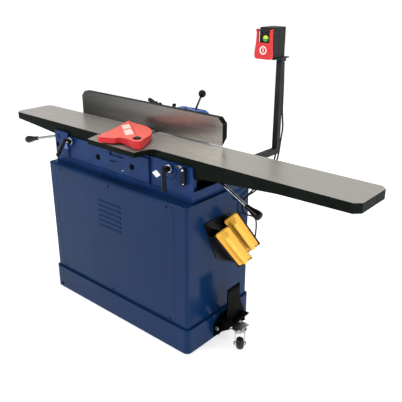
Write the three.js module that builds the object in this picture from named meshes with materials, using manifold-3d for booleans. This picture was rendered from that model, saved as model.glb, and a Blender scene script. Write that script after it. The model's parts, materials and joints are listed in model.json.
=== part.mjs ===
// A 200 mm parallelogram jointer on a closed cabinet, with its fence, guard, switch stand and mobile base.
// Lengths are in millimetres. +X runs along the beds to the infeed end, +Y to the fence, +Z up.
// The origin is the centre of the plinth's underside.
import * as THREE from 'three';
import { mergeVertices } from 'three/addons/utils/BufferGeometryUtils.js';
import Module from 'manifold-3d';

const wasm = await Module();
wasm.setup();

// Driving dimensions
const GAP = 0.3; // between fixed neighbours
const RUN = 0.4; // radial running clearance of shafts

const BED_TOP = 850; // outfeed table's surface
const BED_FRONT = -143;
const BED_BACK = 67;
const PLATE = 20; // table plate thickness
const SKIRT = 14; // table side wall thickness
const CUT_DEPTH = 3; // infeed table below the outfeed table
const INFEED_TOP = BED_TOP - CUT_DEPTH;
const INFEED_END = 1111;
const OUTFEED_END = -794;
const BED_CHAMFER = 22;

const PLINTH_X = 458;
const PLINTH_Y = 215.5;
const PLINTH_TOP = 116;
const PLINTH_WALL = 6;
const CABINET_X = 448;
const CABINET_Y = 205;
const CABINET_TOP = 670;
const CABINET_WALL = 4;
const PANEL = { x0: -400, x1: 376, z0: 126, z1: 657, thick: 2 };
const REAR_PANEL = { x0: -320, x1: 320, z0: 140, z1: 640, thick: 2 };

const CASTING = { x0: -448, x1: 432, front: -155, back: 79.5, wall: 10, floor: 684 };
const CASTING_BASE = CABINET_TOP + GAP;
const END_WALL_TOP = 715;

const HEAD_RADIUS = 38;
const HEAD_Z = BED_TOP - HEAD_RADIUS;
const JOURNAL = 9;
const SADDLE = 46; // half width of the bearing seats
const BELT_Y = 106;
const HEAD_PULLEY = 26;
const MOTOR_PULLEY = 40;
const MOTOR = { x: 40, z: 240, radius: 80 };

const LINK_THROW = 32; // crank throw of the table links
const SHAFT = 11;
const CRANK_PIN = 8;
const INFEED_PIVOT_Z = 746;
const OUTFEED_PIVOT_Z = 790;
const INNER_PIVOT = 130;
const OUTER_PIVOT = 395;

const FENCE = { x0: -499, x1: 405, face: 59, back: 89, z0: BED_TOP + 1, z1: 967 };
const CARRIAGE = { x0: 30, x1: 199, front: 124, hump: 168, back: 240, top: 941 };
const RIBS = [89, 181]; // X of the fence bracket's two curved ribs

const GUARD_PIVOT = [155, -179];
const GUARD_BOTTOM = 856;
const GUARD_TOP = 888;

const POST = { x0: 476, x1: 501, y0: 315, y1: 340, bottom: 779, top: 1185.7 };
const BOX = { x0: 434, x1: 501, y0: 250, y1: 335, z0: 1191, z1: 1310 };
const PADDLE_HINGE = { y: 244, z: 1297 };

const HOLDER_TILT = THREE.MathUtils.degToRad(39.35);
const BLOCK_LENGTH = 262;
const BLOCK_WIDTH = 64;
const PEDAL_PIVOT = { x: 482, z: 62 };
const CASTER_TURN = THREE.MathUtils.degToRad(41);
const CASTER = { x: 585, y: -20, trail: 16, radius: 28, axleZ: 30, wide: 34 };

// Materials
const look = (color, roughness, metalness) => (
  new THREE.MeshStandardMaterial({ color, roughness, metalness }));
const cabinetPaint = () => look(0x1d3f6b, 0.35, 0.1);
const castingPaint = () => look(0x1f4a86, 0.4, 0.1);
const groundIron = () => look(0xb5b1a8, 0.4, 0.8);
const blackPlastic = () => look(0x1b1b1c, 0.5, 0);
const blackSteel = () => look(0x202224, 0.45, 0.4);
const chrome = () => look(0xd0d2d4, 0.12, 1);
const zinc = () => look(0xb9bbba, 0.3, 0.9);
const steel = () => look(0x9a9c9e, 0.35, 0.9);
const rubber = () => look(0x161616, 0.8, 0);
const redPlastic = () => look(0xe2403f, 0.4, 0);
const yellowPlastic = () => look(0xf3c245, 0.45, 0);

// Solids
function solid(geometry, matrix) {
  let plain = geometry.index ? geometry.toNonIndexed() : geometry.clone();
  if (matrix) plain.applyMatrix4(matrix);
  for (const name of Object.keys(plain.attributes)) {
    if (name !== 'position') plain.deleteAttribute(name);
  }
  plain = mergeVertices(plain, 1e-3);
  const index = plain.index.array;
  const points = plain.attributes.position.array;
  const corner = (i) => new THREE.Vector3().fromArray(points, 3 * i);
  const triangles = [];
  let volume = 0;
  for (let i = 0; i < index.length; i += 3) {
    const [a, b, c] = [index[i], index[i + 1], index[i + 2]];
    if (a === b || b === c || c === a) continue;
    triangles.push(a, b, c);
    volume += corner(a).dot(corner(b).cross(corner(c)));
  }
  if (volume < 0) triangles.reverse();
  return new wasm.Manifold(new wasm.Mesh({
    numProp: 3,
    vertProperties: new Float32Array(points),
    triVerts: new Uint32Array(triangles),
  }));
}

const join = (first, ...rest) => rest.reduce((sum, piece) => sum.add(piece), first);
const cut = (first, ...rest) => rest.reduce((left, piece) => left.subtract(piece), first);

function block(x0, x1, y0, y1, z0, z1) {
  const box = new THREE.BoxGeometry(x1 - x0, y1 - y0, z1 - z0);
  return solid(box.translate((x0 + x1) / 2, (y0 + y1) / 2, (z0 + z1) / 2));
}

const outline = (points) => new THREE.Shape(points.map(([x, y]) => new THREE.Vector2(x, y)));

// A prism along x, y or z: its outline is given in (y, z), (x, z) or (x, y).
function prism(shape, axis, from, to, curveSegments = 4) {
  const drawn = Array.isArray(shape) ? outline(shape) : shape;
  const body = new THREE.ExtrudeGeometry(drawn, { depth: to - from, bevelEnabled: false, curveSegments });
  const place = new THREE.Matrix4();
  if (axis === 'x') place.set(0, 0, 1, from, 1, 0, 0, 0, 0, 1, 0, 0, 0, 0, 0, 1);
  if (axis === 'y') place.set(1, 0, 0, 0, 0, 0, -1, to, 0, 1, 0, 0, 0, 0, 0, 1);
  if (axis === 'z') place.makeTranslation(0, 0, from);
  return solid(body, place);
}

function along(from, to) {
  const start = new THREE.Vector3(...from);
  const run = new THREE.Vector3(...to).sub(start);
  const way = run.clone().normalize();
  const turn = new THREE.Quaternion().setFromUnitVectors(new THREE.Vector3(0, 1, 0), way);
  const matrix = new THREE.Matrix4().compose(start, turn, new THREE.Vector3(1, 1, 1));
  return { matrix, length: run.length() };
}

function rod(from, to, radius, sides = 12, endRadius = radius) {
  const { matrix, length } = along(from, to);
  const body = new THREE.CylinderGeometry(endRadius, radius, length, sides).translate(0, length / 2, 0);
  return solid(body, matrix);
}

// A turned piece: [radius, height] pairs from the axis back to the axis, raised from `from` towards `to`.
function turned(profile, from, to, sides = 16) {
  const points = profile.map(([r, h]) => new THREE.Vector2(r, h));
  return solid(new THREE.LatheGeometry(points, sides), along(from, to).matrix);
}

function roundedRectangle(halfX, halfY, radius) {
  const shape = new THREE.Shape();
  shape.moveTo(-halfX + radius, -halfY);
  shape.absarc(halfX - radius, -halfY + radius, radius, -Math.PI / 2, 0);
  shape.absarc(halfX - radius, halfY - radius, radius, 0, Math.PI / 2);
  shape.absarc(-halfX + radius, halfY - radius, radius, Math.PI / 2, Math.PI);
  shape.absarc(-halfX + radius, -halfY + radius, radius, Math.PI, 1.5 * Math.PI);
  return shape;
}

// A tube of a given radius along a smooth curve through hand placed points.
function cable(points, radius, steps) {
  const path = new THREE.CatmullRomCurve3(points.map((p) => new THREE.Vector3(...p)), false, 'centripetal');
  const sides = 8;
  const ring = [];
  for (let i = 0; i < sides; i++) {
    const angle = (2 * Math.PI * i) / sides;
    ring.push([radius * Math.cos(angle), radius * Math.sin(angle)]);
  }
  return solid(new THREE.ExtrudeGeometry(outline(ring), { steps, extrudePath: path }));
}

function mesh(name, body, material) {
  const { vertProperties, triVerts, numProp } = body.getMesh();
  const points = new Float32Array((vertProperties.length / numProp) * 3);
  for (let i = 0; i < points.length / 3; i++) {
    for (let k = 0; k < 3; k++) points[3 * i + k] = vertProperties[numProp * i + k];
  }
  const geometry = new THREE.BufferGeometry();
  geometry.setAttribute('position', new THREE.BufferAttribute(points, 3));
  geometry.setIndex(new THREE.BufferAttribute(new Uint32Array(triVerts), 1));
  geometry.computeVertexNormals();
  const made = new THREE.Mesh(geometry, material);
  made.name = name;
  return made;
}

function group(...children) {
  const made = new THREE.Group();
  made.add(...children);
  return made;
}

// Base: plinth, feet, cabinet and its covers
const REAR_WHEEL = { x: -420, z: 16, radius: 22, y0: 180, y1: 200, pin: 6 };

function plinth() {
  const outer = prism(roundedRectangle(PLINTH_X, PLINTH_Y, 25), 'z', 0, PLINTH_TOP);
  const inside = roundedRectangle(PLINTH_X - PLINTH_WALL, PLINTH_Y - PLINTH_WALL, 19);
  const hollow = prism(inside, 'z', PLINTH_WALL, PLINTH_TOP - PLINTH_WALL);
  const mouth = prism(roundedRectangle(CABINET_X - 30, CABINET_Y - 30, 10), 'z', 60, PLINTH_TOP + 1);
  let body = cut(outer, hollow, mouth);
  const { x, z, radius, y0, y1, pin } = REAR_WHEEL;
  for (const side of [-1, 1]) {
    const [low, high] = side < 0 ? [-y1, -y0] : [y0, y1];
    body = cut(body, block(x - radius - 3, x + radius + 3, low - 3, high + 3, -1, PLINTH_WALL + 1));
    const stub = rod([x, side * (PLINTH_Y - 3), z], [x, side * (y0 - 4), z], pin, 12);
    const head = rod([x, side * (PLINTH_Y - 3), z], [x, side * (PLINTH_Y + 5), z], 9, 6);
    body = join(body, stub, head);
  }
  return body;
}

function rearWheel(side) {
  const { x, z, radius, y0, y1, pin } = REAR_WHEEL;
  const tyre = rod([x, side * y0, z], [x, side * y1, z], radius, 24);
  return cut(tyre, rod([x, side * (y0 - 1), z], [x, side * (y1 + 1), z], pin + 0.8, 16));
}

function foot(x, y) {
  const profile = [[0, 0], [17, 0], [20, 2.5], [18, 7.7], [0, 7.7]];
  return turned(profile, [x, y, -8], [x, y, 0], 20);
}

function cabinetShell() {
  const bottom = PLINTH_TOP + GAP;
  const outer = prism(roundedRectangle(CABINET_X, CABINET_Y, 14), 'z', bottom, CABINET_TOP);
  const inner = roundedRectangle(CABINET_X - CABINET_WALL, CABINET_Y - CABINET_WALL, 10);
  const edge = 12; // rounding of the top's long edges
  const section = new THREE.Shape();
  section.moveTo(-CABINET_Y, bottom - 1);
  section.lineTo(CABINET_Y, bottom - 1);
  section.absarc(CABINET_Y - edge, CABINET_TOP - edge, edge, 0, Math.PI / 2);
  section.absarc(-CABINET_Y + edge, CABINET_TOP - edge, edge, Math.PI / 2, Math.PI);
  let body = outer.intersect(prism(section, 'x', -500, 500));
  body = cut(body, prism(inner, 'z', bottom - 1, CABINET_TOP - 6));
  body = cut(body, block(-300, 300, -120, 130, CABINET_TOP - 20, CABINET_TOP + 1));
  body = cut(body, ...panelSeat(PANEL, -1), ...panelSeat(REAR_PANEL, 1));
  for (const [x0, y0, z0, x1, y1, z1] of GLANDS) {
    body = join(body, rod([x0, y0, z0], [x1, y1, z1], 9, 12));
  }
  return body;
}

// The switch cable's gland on the end wall and the motor cable's gland on the rear wall, from the root out
const GLANDS = [
  [CABINET_X - 2, 110, 622, CABINET_X + 14, 110, 622],
  [415, CABINET_Y - 2, 330, 415, CABINET_Y + 13, 330],
];

function panelSeat({ x0, x1, z0, z1, thick }, side) {
  const seam = 1;
  const lip = 20;
  const face = side * CABINET_Y;
  const seat = face - side * (thick + GAP);
  const inward = face - side * 12;
  const pocket = block(x0 - seam, x1 + seam, Math.min(seat, face + side), Math.max(seat, face + side),
    z0 - seam, z1 + seam);
  const window = block(x0 + lip, x1 - lip, Math.min(inward, seat + side), Math.max(inward, seat + side),
    z0 + lip, z1 - lip);
  return [pocket, window];
}

function frontPanel() {
  const { x0, x1, z0, z1, thick } = PANEL;
  let body = block(x0, x1, -CABINET_Y, -CABINET_Y + thick, z0, z1);
  for (let row = 0; row < 6; row++) {
    const z = 440 + 24 * row;
    body = cut(body, block(-88, 58, -CABINET_Y - 1, -CABINET_Y + thick + 1, z, z + 6));
  }
  return body;
}

const DUST_TUBE = { x: -200, z: 452, radius: 51 };

function rearPanel() {
  const { x0, x1, z0, z1, thick } = REAR_PANEL;
  const { x, z, radius } = DUST_TUBE;
  const sheet = block(x0, x1, CABINET_Y - thick, CABINET_Y, z0, z1);
  return cut(sheet, rod([x, CABINET_Y - 10, z], [x, CABINET_Y + 10, z], radius + 1.5, 32));
}

// A sloping hopper below the cutterhead that ends in a round hose port through the rear panel.
function dustChute() {
  const wall = 3;
  const { x, z, radius } = DUST_TUBE;
  const low = z - radius - 6;
  const outerShape = [[-66, 663], [66, 663], [66, 600], [-120, low], [-268, low], [-268, 520], [-160, 560]];
  const innerShape = [[-63, 664], [63, 664], [63, 602], [-121, low + wall], [-265, low + wall], [-265, 518],
    [-158, 557]];
  const hopper = prism(outerShape, 'y', -118, 56);
  const port = rod([x, 50, z], [x, 258, z], radius, 32);
  const inside = prism(innerShape, 'y', -118 + wall, 56 - wall);
  return cut(join(hopper, port), inside, rod([x, 40, z], [x, 259, z], radius - wall, 32));
}

function mainsGland() {
  const profile = [[0, 0], [13, 0], [13, 5], [10, 7], [10, 16], [8, 19], [0, 19]];
  return turned(profile, [380, CABINET_Y + GAP, 180], [380, CABINET_Y + 30, 180], 16);
}

// Main casting with its bearing seats and the uprights that carry the table links
function mainCasting() {
  const { x0, x1, front, back, wall, floor } = CASTING;
  let body = block(x0, x1, front, back, CASTING_BASE, 816);
  body = cut(body, block(x0 + wall, x1 - wall, front + wall, back - wall, floor, 900));
  body = cut(body, block(x0 - 1, x0 + wall + 1, front + wall, back - wall, END_WALL_TOP, 900));
  body = cut(body, block(x1 - wall - 1, x1 + 1, front + wall, back - wall, END_WALL_TOP, 900));
  // ears and a lower wall between them
  body = cut(body, block(-351, -150, front - 1, front + 5, floor + 10, 900));
  body = cut(body, block(-351, -150, front - 1, front + wall + 1, 800, 900));
  body = cut(body, block(196, 262, front - 1, front + 5, floor + 10, 900));
  body = cut(body, block(x0 - 1, x1 + 1, back - wall - 1, back + 1, 800, 900));
  const padSection = [[front + 1, 694], [front - 5, 702], [front - 5, 806], [front + 1, 813]];
  body = join(body, prism(padSection, 'x', -150, 196));
  // the cast panel behind the depth pointer
  body = join(body, prism([[334, 800], [338, 815], [379, 815], [381, 802]], 'y', front - 1.8, front + 1));
  // bearing seats and the chip opening
  body = cut(body, block(-SADDLE, SADDLE, front - 10, front + wall + 1, HEAD_Z - 38, 900));
  body = cut(body, block(-SADDLE, SADDLE, back - wall - 1, back + 1, HEAD_Z - 38, 900));
  body = cut(body, block(-58, 58, -112, 50, CASTING_BASE - 1, floor + 1));
  // bosses on the front wall
  const bosses = [[-429, 787, 14, -158], [-327, 782, 20, -158], [309, 790, 24, -158], [396, 800, 13, -158]];
  for (const [x, z, radius, y] of bosses) {
    body = join(body, rod([x, front + 6, z], [x, y, z], radius, 16));
  }
  for (const [x, z] of [[-INNER_PIVOT, OUTFEED_PIVOT_Z], [-OUTER_PIVOT, OUTFEED_PIVOT_Z],
    [INNER_PIVOT, INFEED_PIVOT_Z], [OUTER_PIVOT, INFEED_PIVOT_Z]]) {
    for (const [y0, y1] of [[-124, -108], [32, 48]]) {
      const upright = join(block(x - 18, x + 18, y0, y1, floor - 4, z), rod([x, y0, z], [x, y1, z], 18, 12));
      body = join(body, upright);
      body = cut(body, rod([x, y0 - 1, z], [x, y1 + 1, z], SHAFT + RUN, 12));
    }
  }
  return body;
}

// Cutterhead and its drive
function bearingBlock(y0, y1) {
  const half = SADDLE - GAP;
  const top = HEAD_Z + 16;
  const bottom = HEAD_Z - 38 + GAP;
  const shape = [[-half, bottom], [half, bottom], [half, 800], [20, top], [-20, top], [-half, 800]];
  return cut(prism(shape, 'y', y0, y1), rod([0, y0 - 1, HEAD_Z], [0, y1 + 1, HEAD_Z], JOURNAL + RUN, 16));
}

function cutterhead() {
  const barrel = rod([0, -139, HEAD_Z], [0, 64, HEAD_Z], HEAD_RADIUS, 32);
  const shaft = rod([0, -158, HEAD_Z], [0, 122, HEAD_Z], JOURNAL, 16);
  return join(barrel, shaft);
}

function pulley(x, z, radius, bore, y0, y1) {
  const width = y1 - y0;
  const profile = [[bore, 0], [radius + 3, 0], [radius + 3, 3], [radius, 4], [radius, width - 4],
    [radius + 3, width - 3], [radius + 3, width], [bore, width], [bore, 0]];
  return turned(profile, [x, y0, z], [x, y1, z], 20);
}

// The belt follows both pulleys on its outer and inner loops.
function beltLoop(offset) {
  const head = { x: 0, z: HEAD_Z, r: HEAD_PULLEY + offset };
  const drive = { x: MOTOR.x, z: MOTOR.z, r: MOTOR_PULLEY + offset };
  const distance = Math.hypot(drive.x - head.x, drive.z - head.z);
  const run = Math.atan2(drive.z - head.z, drive.x - head.x);
  const lean = Math.acos((head.r - drive.r) / distance);
  const loop = new THREE.Shape();
  loop.absarc(drive.x, drive.z, drive.r, run - lean, run + lean, false);
  loop.absarc(head.x, head.z, head.r, run + lean, run - lean + 2 * Math.PI, false);
  return loop;
}

function driveBelt() {
  const width = 12;
  const [y0, y1] = [BELT_Y - width / 2, BELT_Y + width / 2];
  return cut(prism(beltLoop(5), 'y', y0, y1, 12), prism(beltLoop(GAP), 'y', y0 - 1, y1 + 1, 12));
}

function motor() {
  const { x, z, radius } = MOTOR;
  const profile = [[0, 0], [radius - 16, 0], [radius - 4, 8], [radius, 16], [radius, 130], [radius - 6, 146],
    [26, 150], [26, 156], [10, 156], [10, 204], [0, 204]];
  const body = turned(profile, [x, -84, z], [x, 100, z], 24);
  const terminalBox = block(x - 120, x - 60, -50, 30, z - 30, z + 30);
  const base = block(x - 60, x + 60, -70, 50, z - radius - 8, z - radius + 20);
  return join(body, terminalBox, base);
}

function motorStand() {
  const top = MOTOR.z - MOTOR.radius - 8 - GAP;
  const [x0, x1] = [MOTOR.x - 75, MOTOR.x + 75];
  const shell = block(x0, x1, -80, 60, PLINTH_WALL + GAP, top);
  return cut(shell, block(x0 + 6, x1 - 6, -90, 70, PLINTH_WALL - 1, top - 6));
}

function beltCover() {
  const outer = block(-44, 60, 82, 134, CASTING_BASE, BED_TOP - 2);
  return cut(outer, block(-41.5, 57.5, 80, 131.5, CASTING_BASE - 1, BED_TOP - 4.5));
}

// Tables
function tablePockets(spans, plateBottom) {
  return spans.map(([x0, x1]) => block(x0, x1, BED_FRONT + SKIRT, BED_BACK - SKIRT, 700, plateBottom));
}

function tableLugs(pivots, pivotZ, toward, plateBottom) {
  const lugs = [];
  for (const pivot of pivots) {
    const x = pivot + toward * LINK_THROW;
    for (const [y0, y1] of [[-92, -78], [2, 16]]) {
      const web = block(x - 14, x + 14, y0, y1, pivotZ, plateBottom + 2);
      const eye = rod([x, y0, pivotZ], [x, y1, pivotZ], 14, 12);
      lugs.push(cut(join(web, eye), rod([x, y0 - 1, pivotZ], [x, y1 + 1, pivotZ], CRANK_PIN + RUN, 12)));
    }
  }
  return lugs;
}

function infeedTable() {
  const top = INFEED_TOP;
  const lip = 37;
  const side = [[lip, top], [INFEED_END, top], [INFEED_END, 811], [811, 805], [461, 777], [400, 772],
    [90, 772], [60, 800], [46, 812], [lip, top - 10]];
  const chamfer = BED_CHAMFER;
  const plan = [[lip - 1, BED_FRONT], [INFEED_END - chamfer, BED_FRONT], [INFEED_END, BED_FRONT + chamfer],
    [INFEED_END, BED_BACK - chamfer], [INFEED_END - chamfer, BED_BACK], [lip - 1, BED_BACK]];
  let body = prism(side, 'y', BED_FRONT, BED_BACK).intersect(prism(plan, 'z', 700, 900));
  const plateBottom = top - PLATE;
  body = cut(body, ...tablePockets([[64, 330], [345, 600], [612, 850], [862, 1095]], plateBottom));
  body = join(body, ...tableLugs([INNER_PIVOT, OUTER_PIVOT], INFEED_PIVOT_Z, -1, plateBottom));
  return join(body, rabbetLedge());
}

function rabbetLedge() {
  const rim = 9;
  const ledge = [[-107, -225], [190, -230], [201, -155], [216, BED_FRONT], [216, BED_FRONT + 2],
    [40, BED_FRONT + 2], [40, BED_FRONT - 3], [-134, BED_FRONT - 3]];
  const hollow = [[-107 + rim, -225 + rim], [190 - rim, -230 + rim], [201 - rim, BED_FRONT - 3],
    [60, BED_FRONT - 3], [60, BED_FRONT - 2.9], [-134 + 2 * rim, BED_FRONT - 2.9]];
  const plate = prism(ledge, 'z', INFEED_TOP - 22, INFEED_TOP);
  const under = prism(hollow, 'z', INFEED_TOP - 40, INFEED_TOP - 9);
  const web = block(40, 216, BED_FRONT - 12, BED_FRONT + 1, INFEED_TOP - 22, INFEED_TOP - 8);
  const [x, y] = GUARD_PIVOT;
  const boss = rod([x, y, INFEED_TOP - 22], [x, y, INFEED_TOP - 5], 14, 20);
  const clear = block(-52, 52, BED_FRONT - 20, BED_FRONT - 2.9, INFEED_TOP - 30, INFEED_TOP - 9);
  return cut(join(cut(plate, under), cut(web, clear), boss),
    rod([x, y, INFEED_TOP - 30], [x, y, INFEED_TOP + 1], 6 + RUN, 20));
}

function outfeedTable() {
  const top = BED_TOP;
  const lip = -35;
  const side = [[lip, top], [OUTFEED_END, top], [OUTFEED_END, 819], [-622, 806], [-477, 793], [-400, 785],
    [-90, 785], [-60, 803], [-46, 812], [lip, top - 10]];
  const chamfer = BED_CHAMFER;
  const plan = [[lip + 1, BED_FRONT], [OUTFEED_END + chamfer, BED_FRONT], [OUTFEED_END, BED_FRONT + chamfer],
    [OUTFEED_END, BED_BACK - chamfer], [OUTFEED_END + chamfer, BED_BACK], [lip + 1, BED_BACK]];
  let body = prism(side, 'y', BED_FRONT, BED_BACK).intersect(prism(plan, 'z', 700, 900));
  const plateBottom = top - PLATE;
  body = cut(body, ...tablePockets([[-330, -64], [-600, -345], [-778, -612]], plateBottom));
  body = cut(body, block(-620, -340, BED_FRONT + SKIRT, BED_BACK - SKIRT, 700, 815));
  return join(body, ...tableLugs([-INNER_PIVOT, -OUTER_PIVOT], OUTFEED_PIVOT_Z, 1, plateBottom));
}

// A cross shaft with two cranks and the pins that carry the table's lugs.
function tableLink(x, z, toward) {
  const pinX = x + toward * LINK_THROW;
  let body = rod([x, -124, z], [x, 48, z], SHAFT, 12);
  body = join(body, rod([pinX, -100, z], [pinX, 24, z], CRANK_PIN, 12));
  for (const [y0, y1] of [[-106, -94], [18, 30]]) {
    const web = block(Math.min(x, pinX), Math.max(x, pinX), y0, y1, z - 12, z + 12);
    body = join(body, web, rod([x, y0, z], [x, y1, z], 15, 12), rod([pinX, y0, z], [pinX, y1, z], 12, 12));
  }
  return body;
}

// Lift lever: rod from its socket on the link shaft to the grip
const LIFT = {
  infeed: { start: [395 + 11, 0, 746 - 5], join: [576, 0, 656], tip: [652, 0, 624] },
  outfeed: { start: [-395 - 11.6, -66, 790 - 3.1], join: [-734, -66, 703], tip: [-846, -66, 674] },
};

function between(from, to, t) {
  return from.map((value, i) => value + t * (to[i] - value));
}

function liftRod({ start, join: neck }) {
  const first = between(start, neck, 0.012);
  return join(rod(first, neck, 7, 16), rod(first, between(start, neck, 0.1), 12, 16));
}

function liftGrip({ join: neck, tip }) {
  const { length } = along(neck, tip);
  const profile = [[0, 1.2], [8.5, 1.2], [10.5, 6], [11, 22], [14.5, length * 0.45], [18.5, length * 0.7],
    [19.5, length * 0.82], [16, length * 0.95], [9, length], [0, length]];
  return turned(profile, neck, tip, 16);
}

// Ratchet lever on a bolt along Y: hub, raised neck and a tapering arm
function ratchetLever(x, z, hubFront, hubBack, elbow, tip) {
  const hub = rod([x, hubBack, z], [x, hubFront, z], 13, 20);
  const neck = rod([x, hubFront + 8, z], elbow, 7, 12);
  const arm = rod(elbow, tip, 7.5, 16, 9.5);
  const ball = turned([[0, -8.5], [6, -6], [8.5, 0], [6, 6], [0, 8.5]], elbow, [elbow[0], elbow[1], 900], 16);
  return join(hub, neck, ball, arm);
}

function depthStopLever() {
  const [x, y, z] = [395, -158 - GAP, 800];
  const hub = rod([x, y, z + 4], [x, y - 12, z + 4], 11, 20);
  const arm = prism([[x - 9, z + 4], [x + 9, z + 4], [x + 12, z - 52], [x + 6, z - 60], [x - 3, z - 60],
    [x - 9, z - 52]], 'y', y - 12, y - 5);
  return join(hub, arm);
}

// Fence and its carriage
function fence() {
  const { x0, x1, face, back, z0, z1 } = FENCE;
  const bottomSlope = 31.5; // clears the tables when the fence leans back 45 degrees
  const section = [[face, z0], [face, z1], [back, z1], [back, z0 + bottomSlope], [face + 0.5, z0]];
  const chamfer = 24;
  const frontView = [[x0, z0 - 1], [x1, z0 - 1], [x1, z1 - chamfer], [x1 - chamfer, z1 + 0.01],
    [x0 + chamfer, z1 + 0.01], [x0, z1 - chamfer]];
  return prism(section, 'x', x0, x1).intersect(prism(frontView, 'y', face - 1, back + 1));
}

function fenceBracket() {
  const { face, back, z0 } = FENCE;
  const plate = block(62, 208, back + GAP, back + 10, z0 + 43, z0 + 109);
  const rib = new THREE.Shape();
  const [reach, low, high] = [122, 0.83, 1.17];
  rib.moveTo(face + 36, z0 + 45);
  rib.lineTo(face + reach * Math.cos(low), z0 + reach * Math.sin(low));
  rib.absarc(face, z0, reach, low, high, false);
  rib.lineTo(face + 36, z0 + 108);
  return join(plate, ...RIBS.map((x) => prism(rib, 'x', x - 8, x + 8, 12)));
}

const CARRIAGE_RAIL = { x0: 122, x1: 148, top: 852.4 };

function fenceBase() {
  const shape = [[CASTING.back + GAP, 690], [112, 690], [112, 752], [252, 815], [252, 849.4],
    [CASTING.back + GAP, 849.4]];
  const body = prism(shape, 'x', 62, 208);
  const rail = block(CARRIAGE_RAIL.x0, CARRIAGE_RAIL.x1, 116, 250, 848, CARRIAGE_RAIL.top);
  return join(body, rail);
}

const CARRIAGE_ARM_TOP = 934; // the arm carries the tilt lock and the stop knob
const SLIDE_LOCK = { x: 118, y: 209, z: 920, run: 40, rise: 78, ball: 17.5 };

function fenceCarriage() {
  const { x0, x1, front, hump, back, top } = CARRIAGE;
  const soleTop = 870;
  const sole = prism([[front, BED_TOP + 0.5], [back, BED_TOP + 0.5], [back, soleTop], [front + 16, soleTop],
    [front, soleTop - 15]], 'x', x0, x1);
  const section = new THREE.Shape();
  section.moveTo(hump, 860);
  section.lineTo(back, 860);
  section.absarc(back - 22, top - 22, 22, 0, Math.PI / 2);
  section.absarc(hump + 14, top - 14, 14, Math.PI / 2, Math.PI);
  let body = join(sole, prism(section, 'x', x0, x1));
  const shoulders = [[x0 - 1, 800], [x1 + 1, 800], [x1 + 1, 905], [x1 - 34, top + 1], [x0 + 12, top + 1],
    [x0 - 1, 930]];
  body = body.intersect(prism(shoulders, 'y', 0, 300));
  for (const x of RIBS) body = cut(body, block(x - 9.5, x + 9.5, front - 1, 196, 840, 960));
  const rail = CARRIAGE_RAIL;
  body = cut(body, block(rail.x0 - 1, rail.x1 + 1, front - 1, back + 1, 840, rail.top + 1));
  body = join(body, block(-76, x0 + 10, 176, 196, CARRIAGE_ARM_TOP - 20, CARRIAGE_ARM_TOP));
  const { x, y, z } = SLIDE_LOCK;
  return cut(body, block(x - 14, x + 34, y - 8, y + 8, z - 14, 960));
}

function slideLockRod() {
  const { x, y, z, run, rise } = SLIDE_LOCK;
  const boss = rod([x, y - 6, z], [x, y + 6, z], 9, 16);
  return join(boss, rod([x, y, z], [x + run, y, z + rise], 5, 16));
}

function ball(radius, from, to) {
  const profile = [[0, 0]];
  const steps = 7;
  for (let i = 1; i < steps; i++) {
    const angle = (Math.PI * i) / steps;
    profile.push([radius * Math.sin(angle), radius * (1 - Math.cos(angle))]);
  }
  profile.push([0, 2 * radius]);
  return turned(profile, from, to, 14);
}

function slideLockBall() {
  const { x, y, z, run, rise, ball: radius } = SLIDE_LOCK;
  const length = Math.hypot(run, rise);
  const unit = [run / length, 0, rise / length];
  const start = [x + run + unit[0] * GAP, y, z + rise + unit[2] * GAP];
  return ball(radius, start, [start[0] + unit[0], y, start[2] + unit[2]]);
}

function tiltLockHandle() {
  return ratchetLever(-62, 936, 160, 175.7, [-66, 156, 944], [-122, 156, 960]);
}

function stopKnob() {
  const profile = [[0, 0], [4, 0], [4, 6], [8, 7], [9, 12], [7, 18], [0, 18]];
  return turned(profile, [16, 186, CARRIAGE_ARM_TOP + GAP], [16, 186, 1000], 16);
}

// Cutter guard
function cutterGuard() {
  const plan = new THREE.Shape();
  plan.moveTo(-20, -241);
  plan.lineTo(-31, -218);
  plan.lineTo(-97, 0);
  plan.lineTo(-88, 6);
  plan.lineTo(-64, -6);
  plan.lineTo(-8, 10);
  plan.bezierCurveTo(44, 8, 104, -36, 134, -82);
  plan.lineTo(195, -194);
  plan.lineTo(193, -206);
  plan.lineTo(170, -214);
  plan.lineTo(96, -194);
  plan.lineTo(70, -192);
  plan.lineTo(62, -198);
  plan.lineTo(58, -212);
  plan.lineTo(-2, -243);
  const plate = prism(plan, 'z', GUARD_BOTTOM, GUARD_TOP, 10);
  const [x, y] = GUARD_PIVOT;
  const hub = rod([x, y, INFEED_TOP + 0.5], [x, y, GUARD_BOTTOM + 4], 15, 20);
  const post = rod([x, y, INFEED_TOP - 12], [x, y, GUARD_BOTTOM + 4], 6, 16);
  return join(plate, hub, post);
}

function guardKnob() {
  const [x, y] = GUARD_PIVOT;
  return turned([[0, 0], [17, 0], [17, 3], [14, 5], [0, 5]], [x, y, GUARD_TOP + GAP], [x, y, 900], 24);
}

// Switch stand
function switchArm() {
  const { x0, x1, y0, bottom } = POST;
  const tube = block(x0, x1, 96, y0 - GAP, bottom, bottom + 25);
  const flange = block(382, x1, CASTING.back + GAP, 97, bottom - 5, bottom + 25);
  return join(tube, flange);
}

function switchPost() {
  const { x0, x1, y0, y1, bottom, top } = POST;
  const tube = block(x0, x1, y0, y1, bottom, top);
  const mitreShape = [[y1 + 1, bottom - 1], [y1 + 1, bottom + 12], [y1 - 12, bottom - 1]];
  const mitre = prism(mitreShape, 'x', x0 - 1, x1 + 1);
  const shelf = block(BOX.x0, x1 + 4, BOX.y0 + 10, 366, top - 0.5, top + 4.8);
  const glands = [489, 462].map((x) => rod([x, 354, top], [x, 354, top - 14], 8, 12));
  return join(cut(tube, mitre), shelf, ...glands);
}

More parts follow.
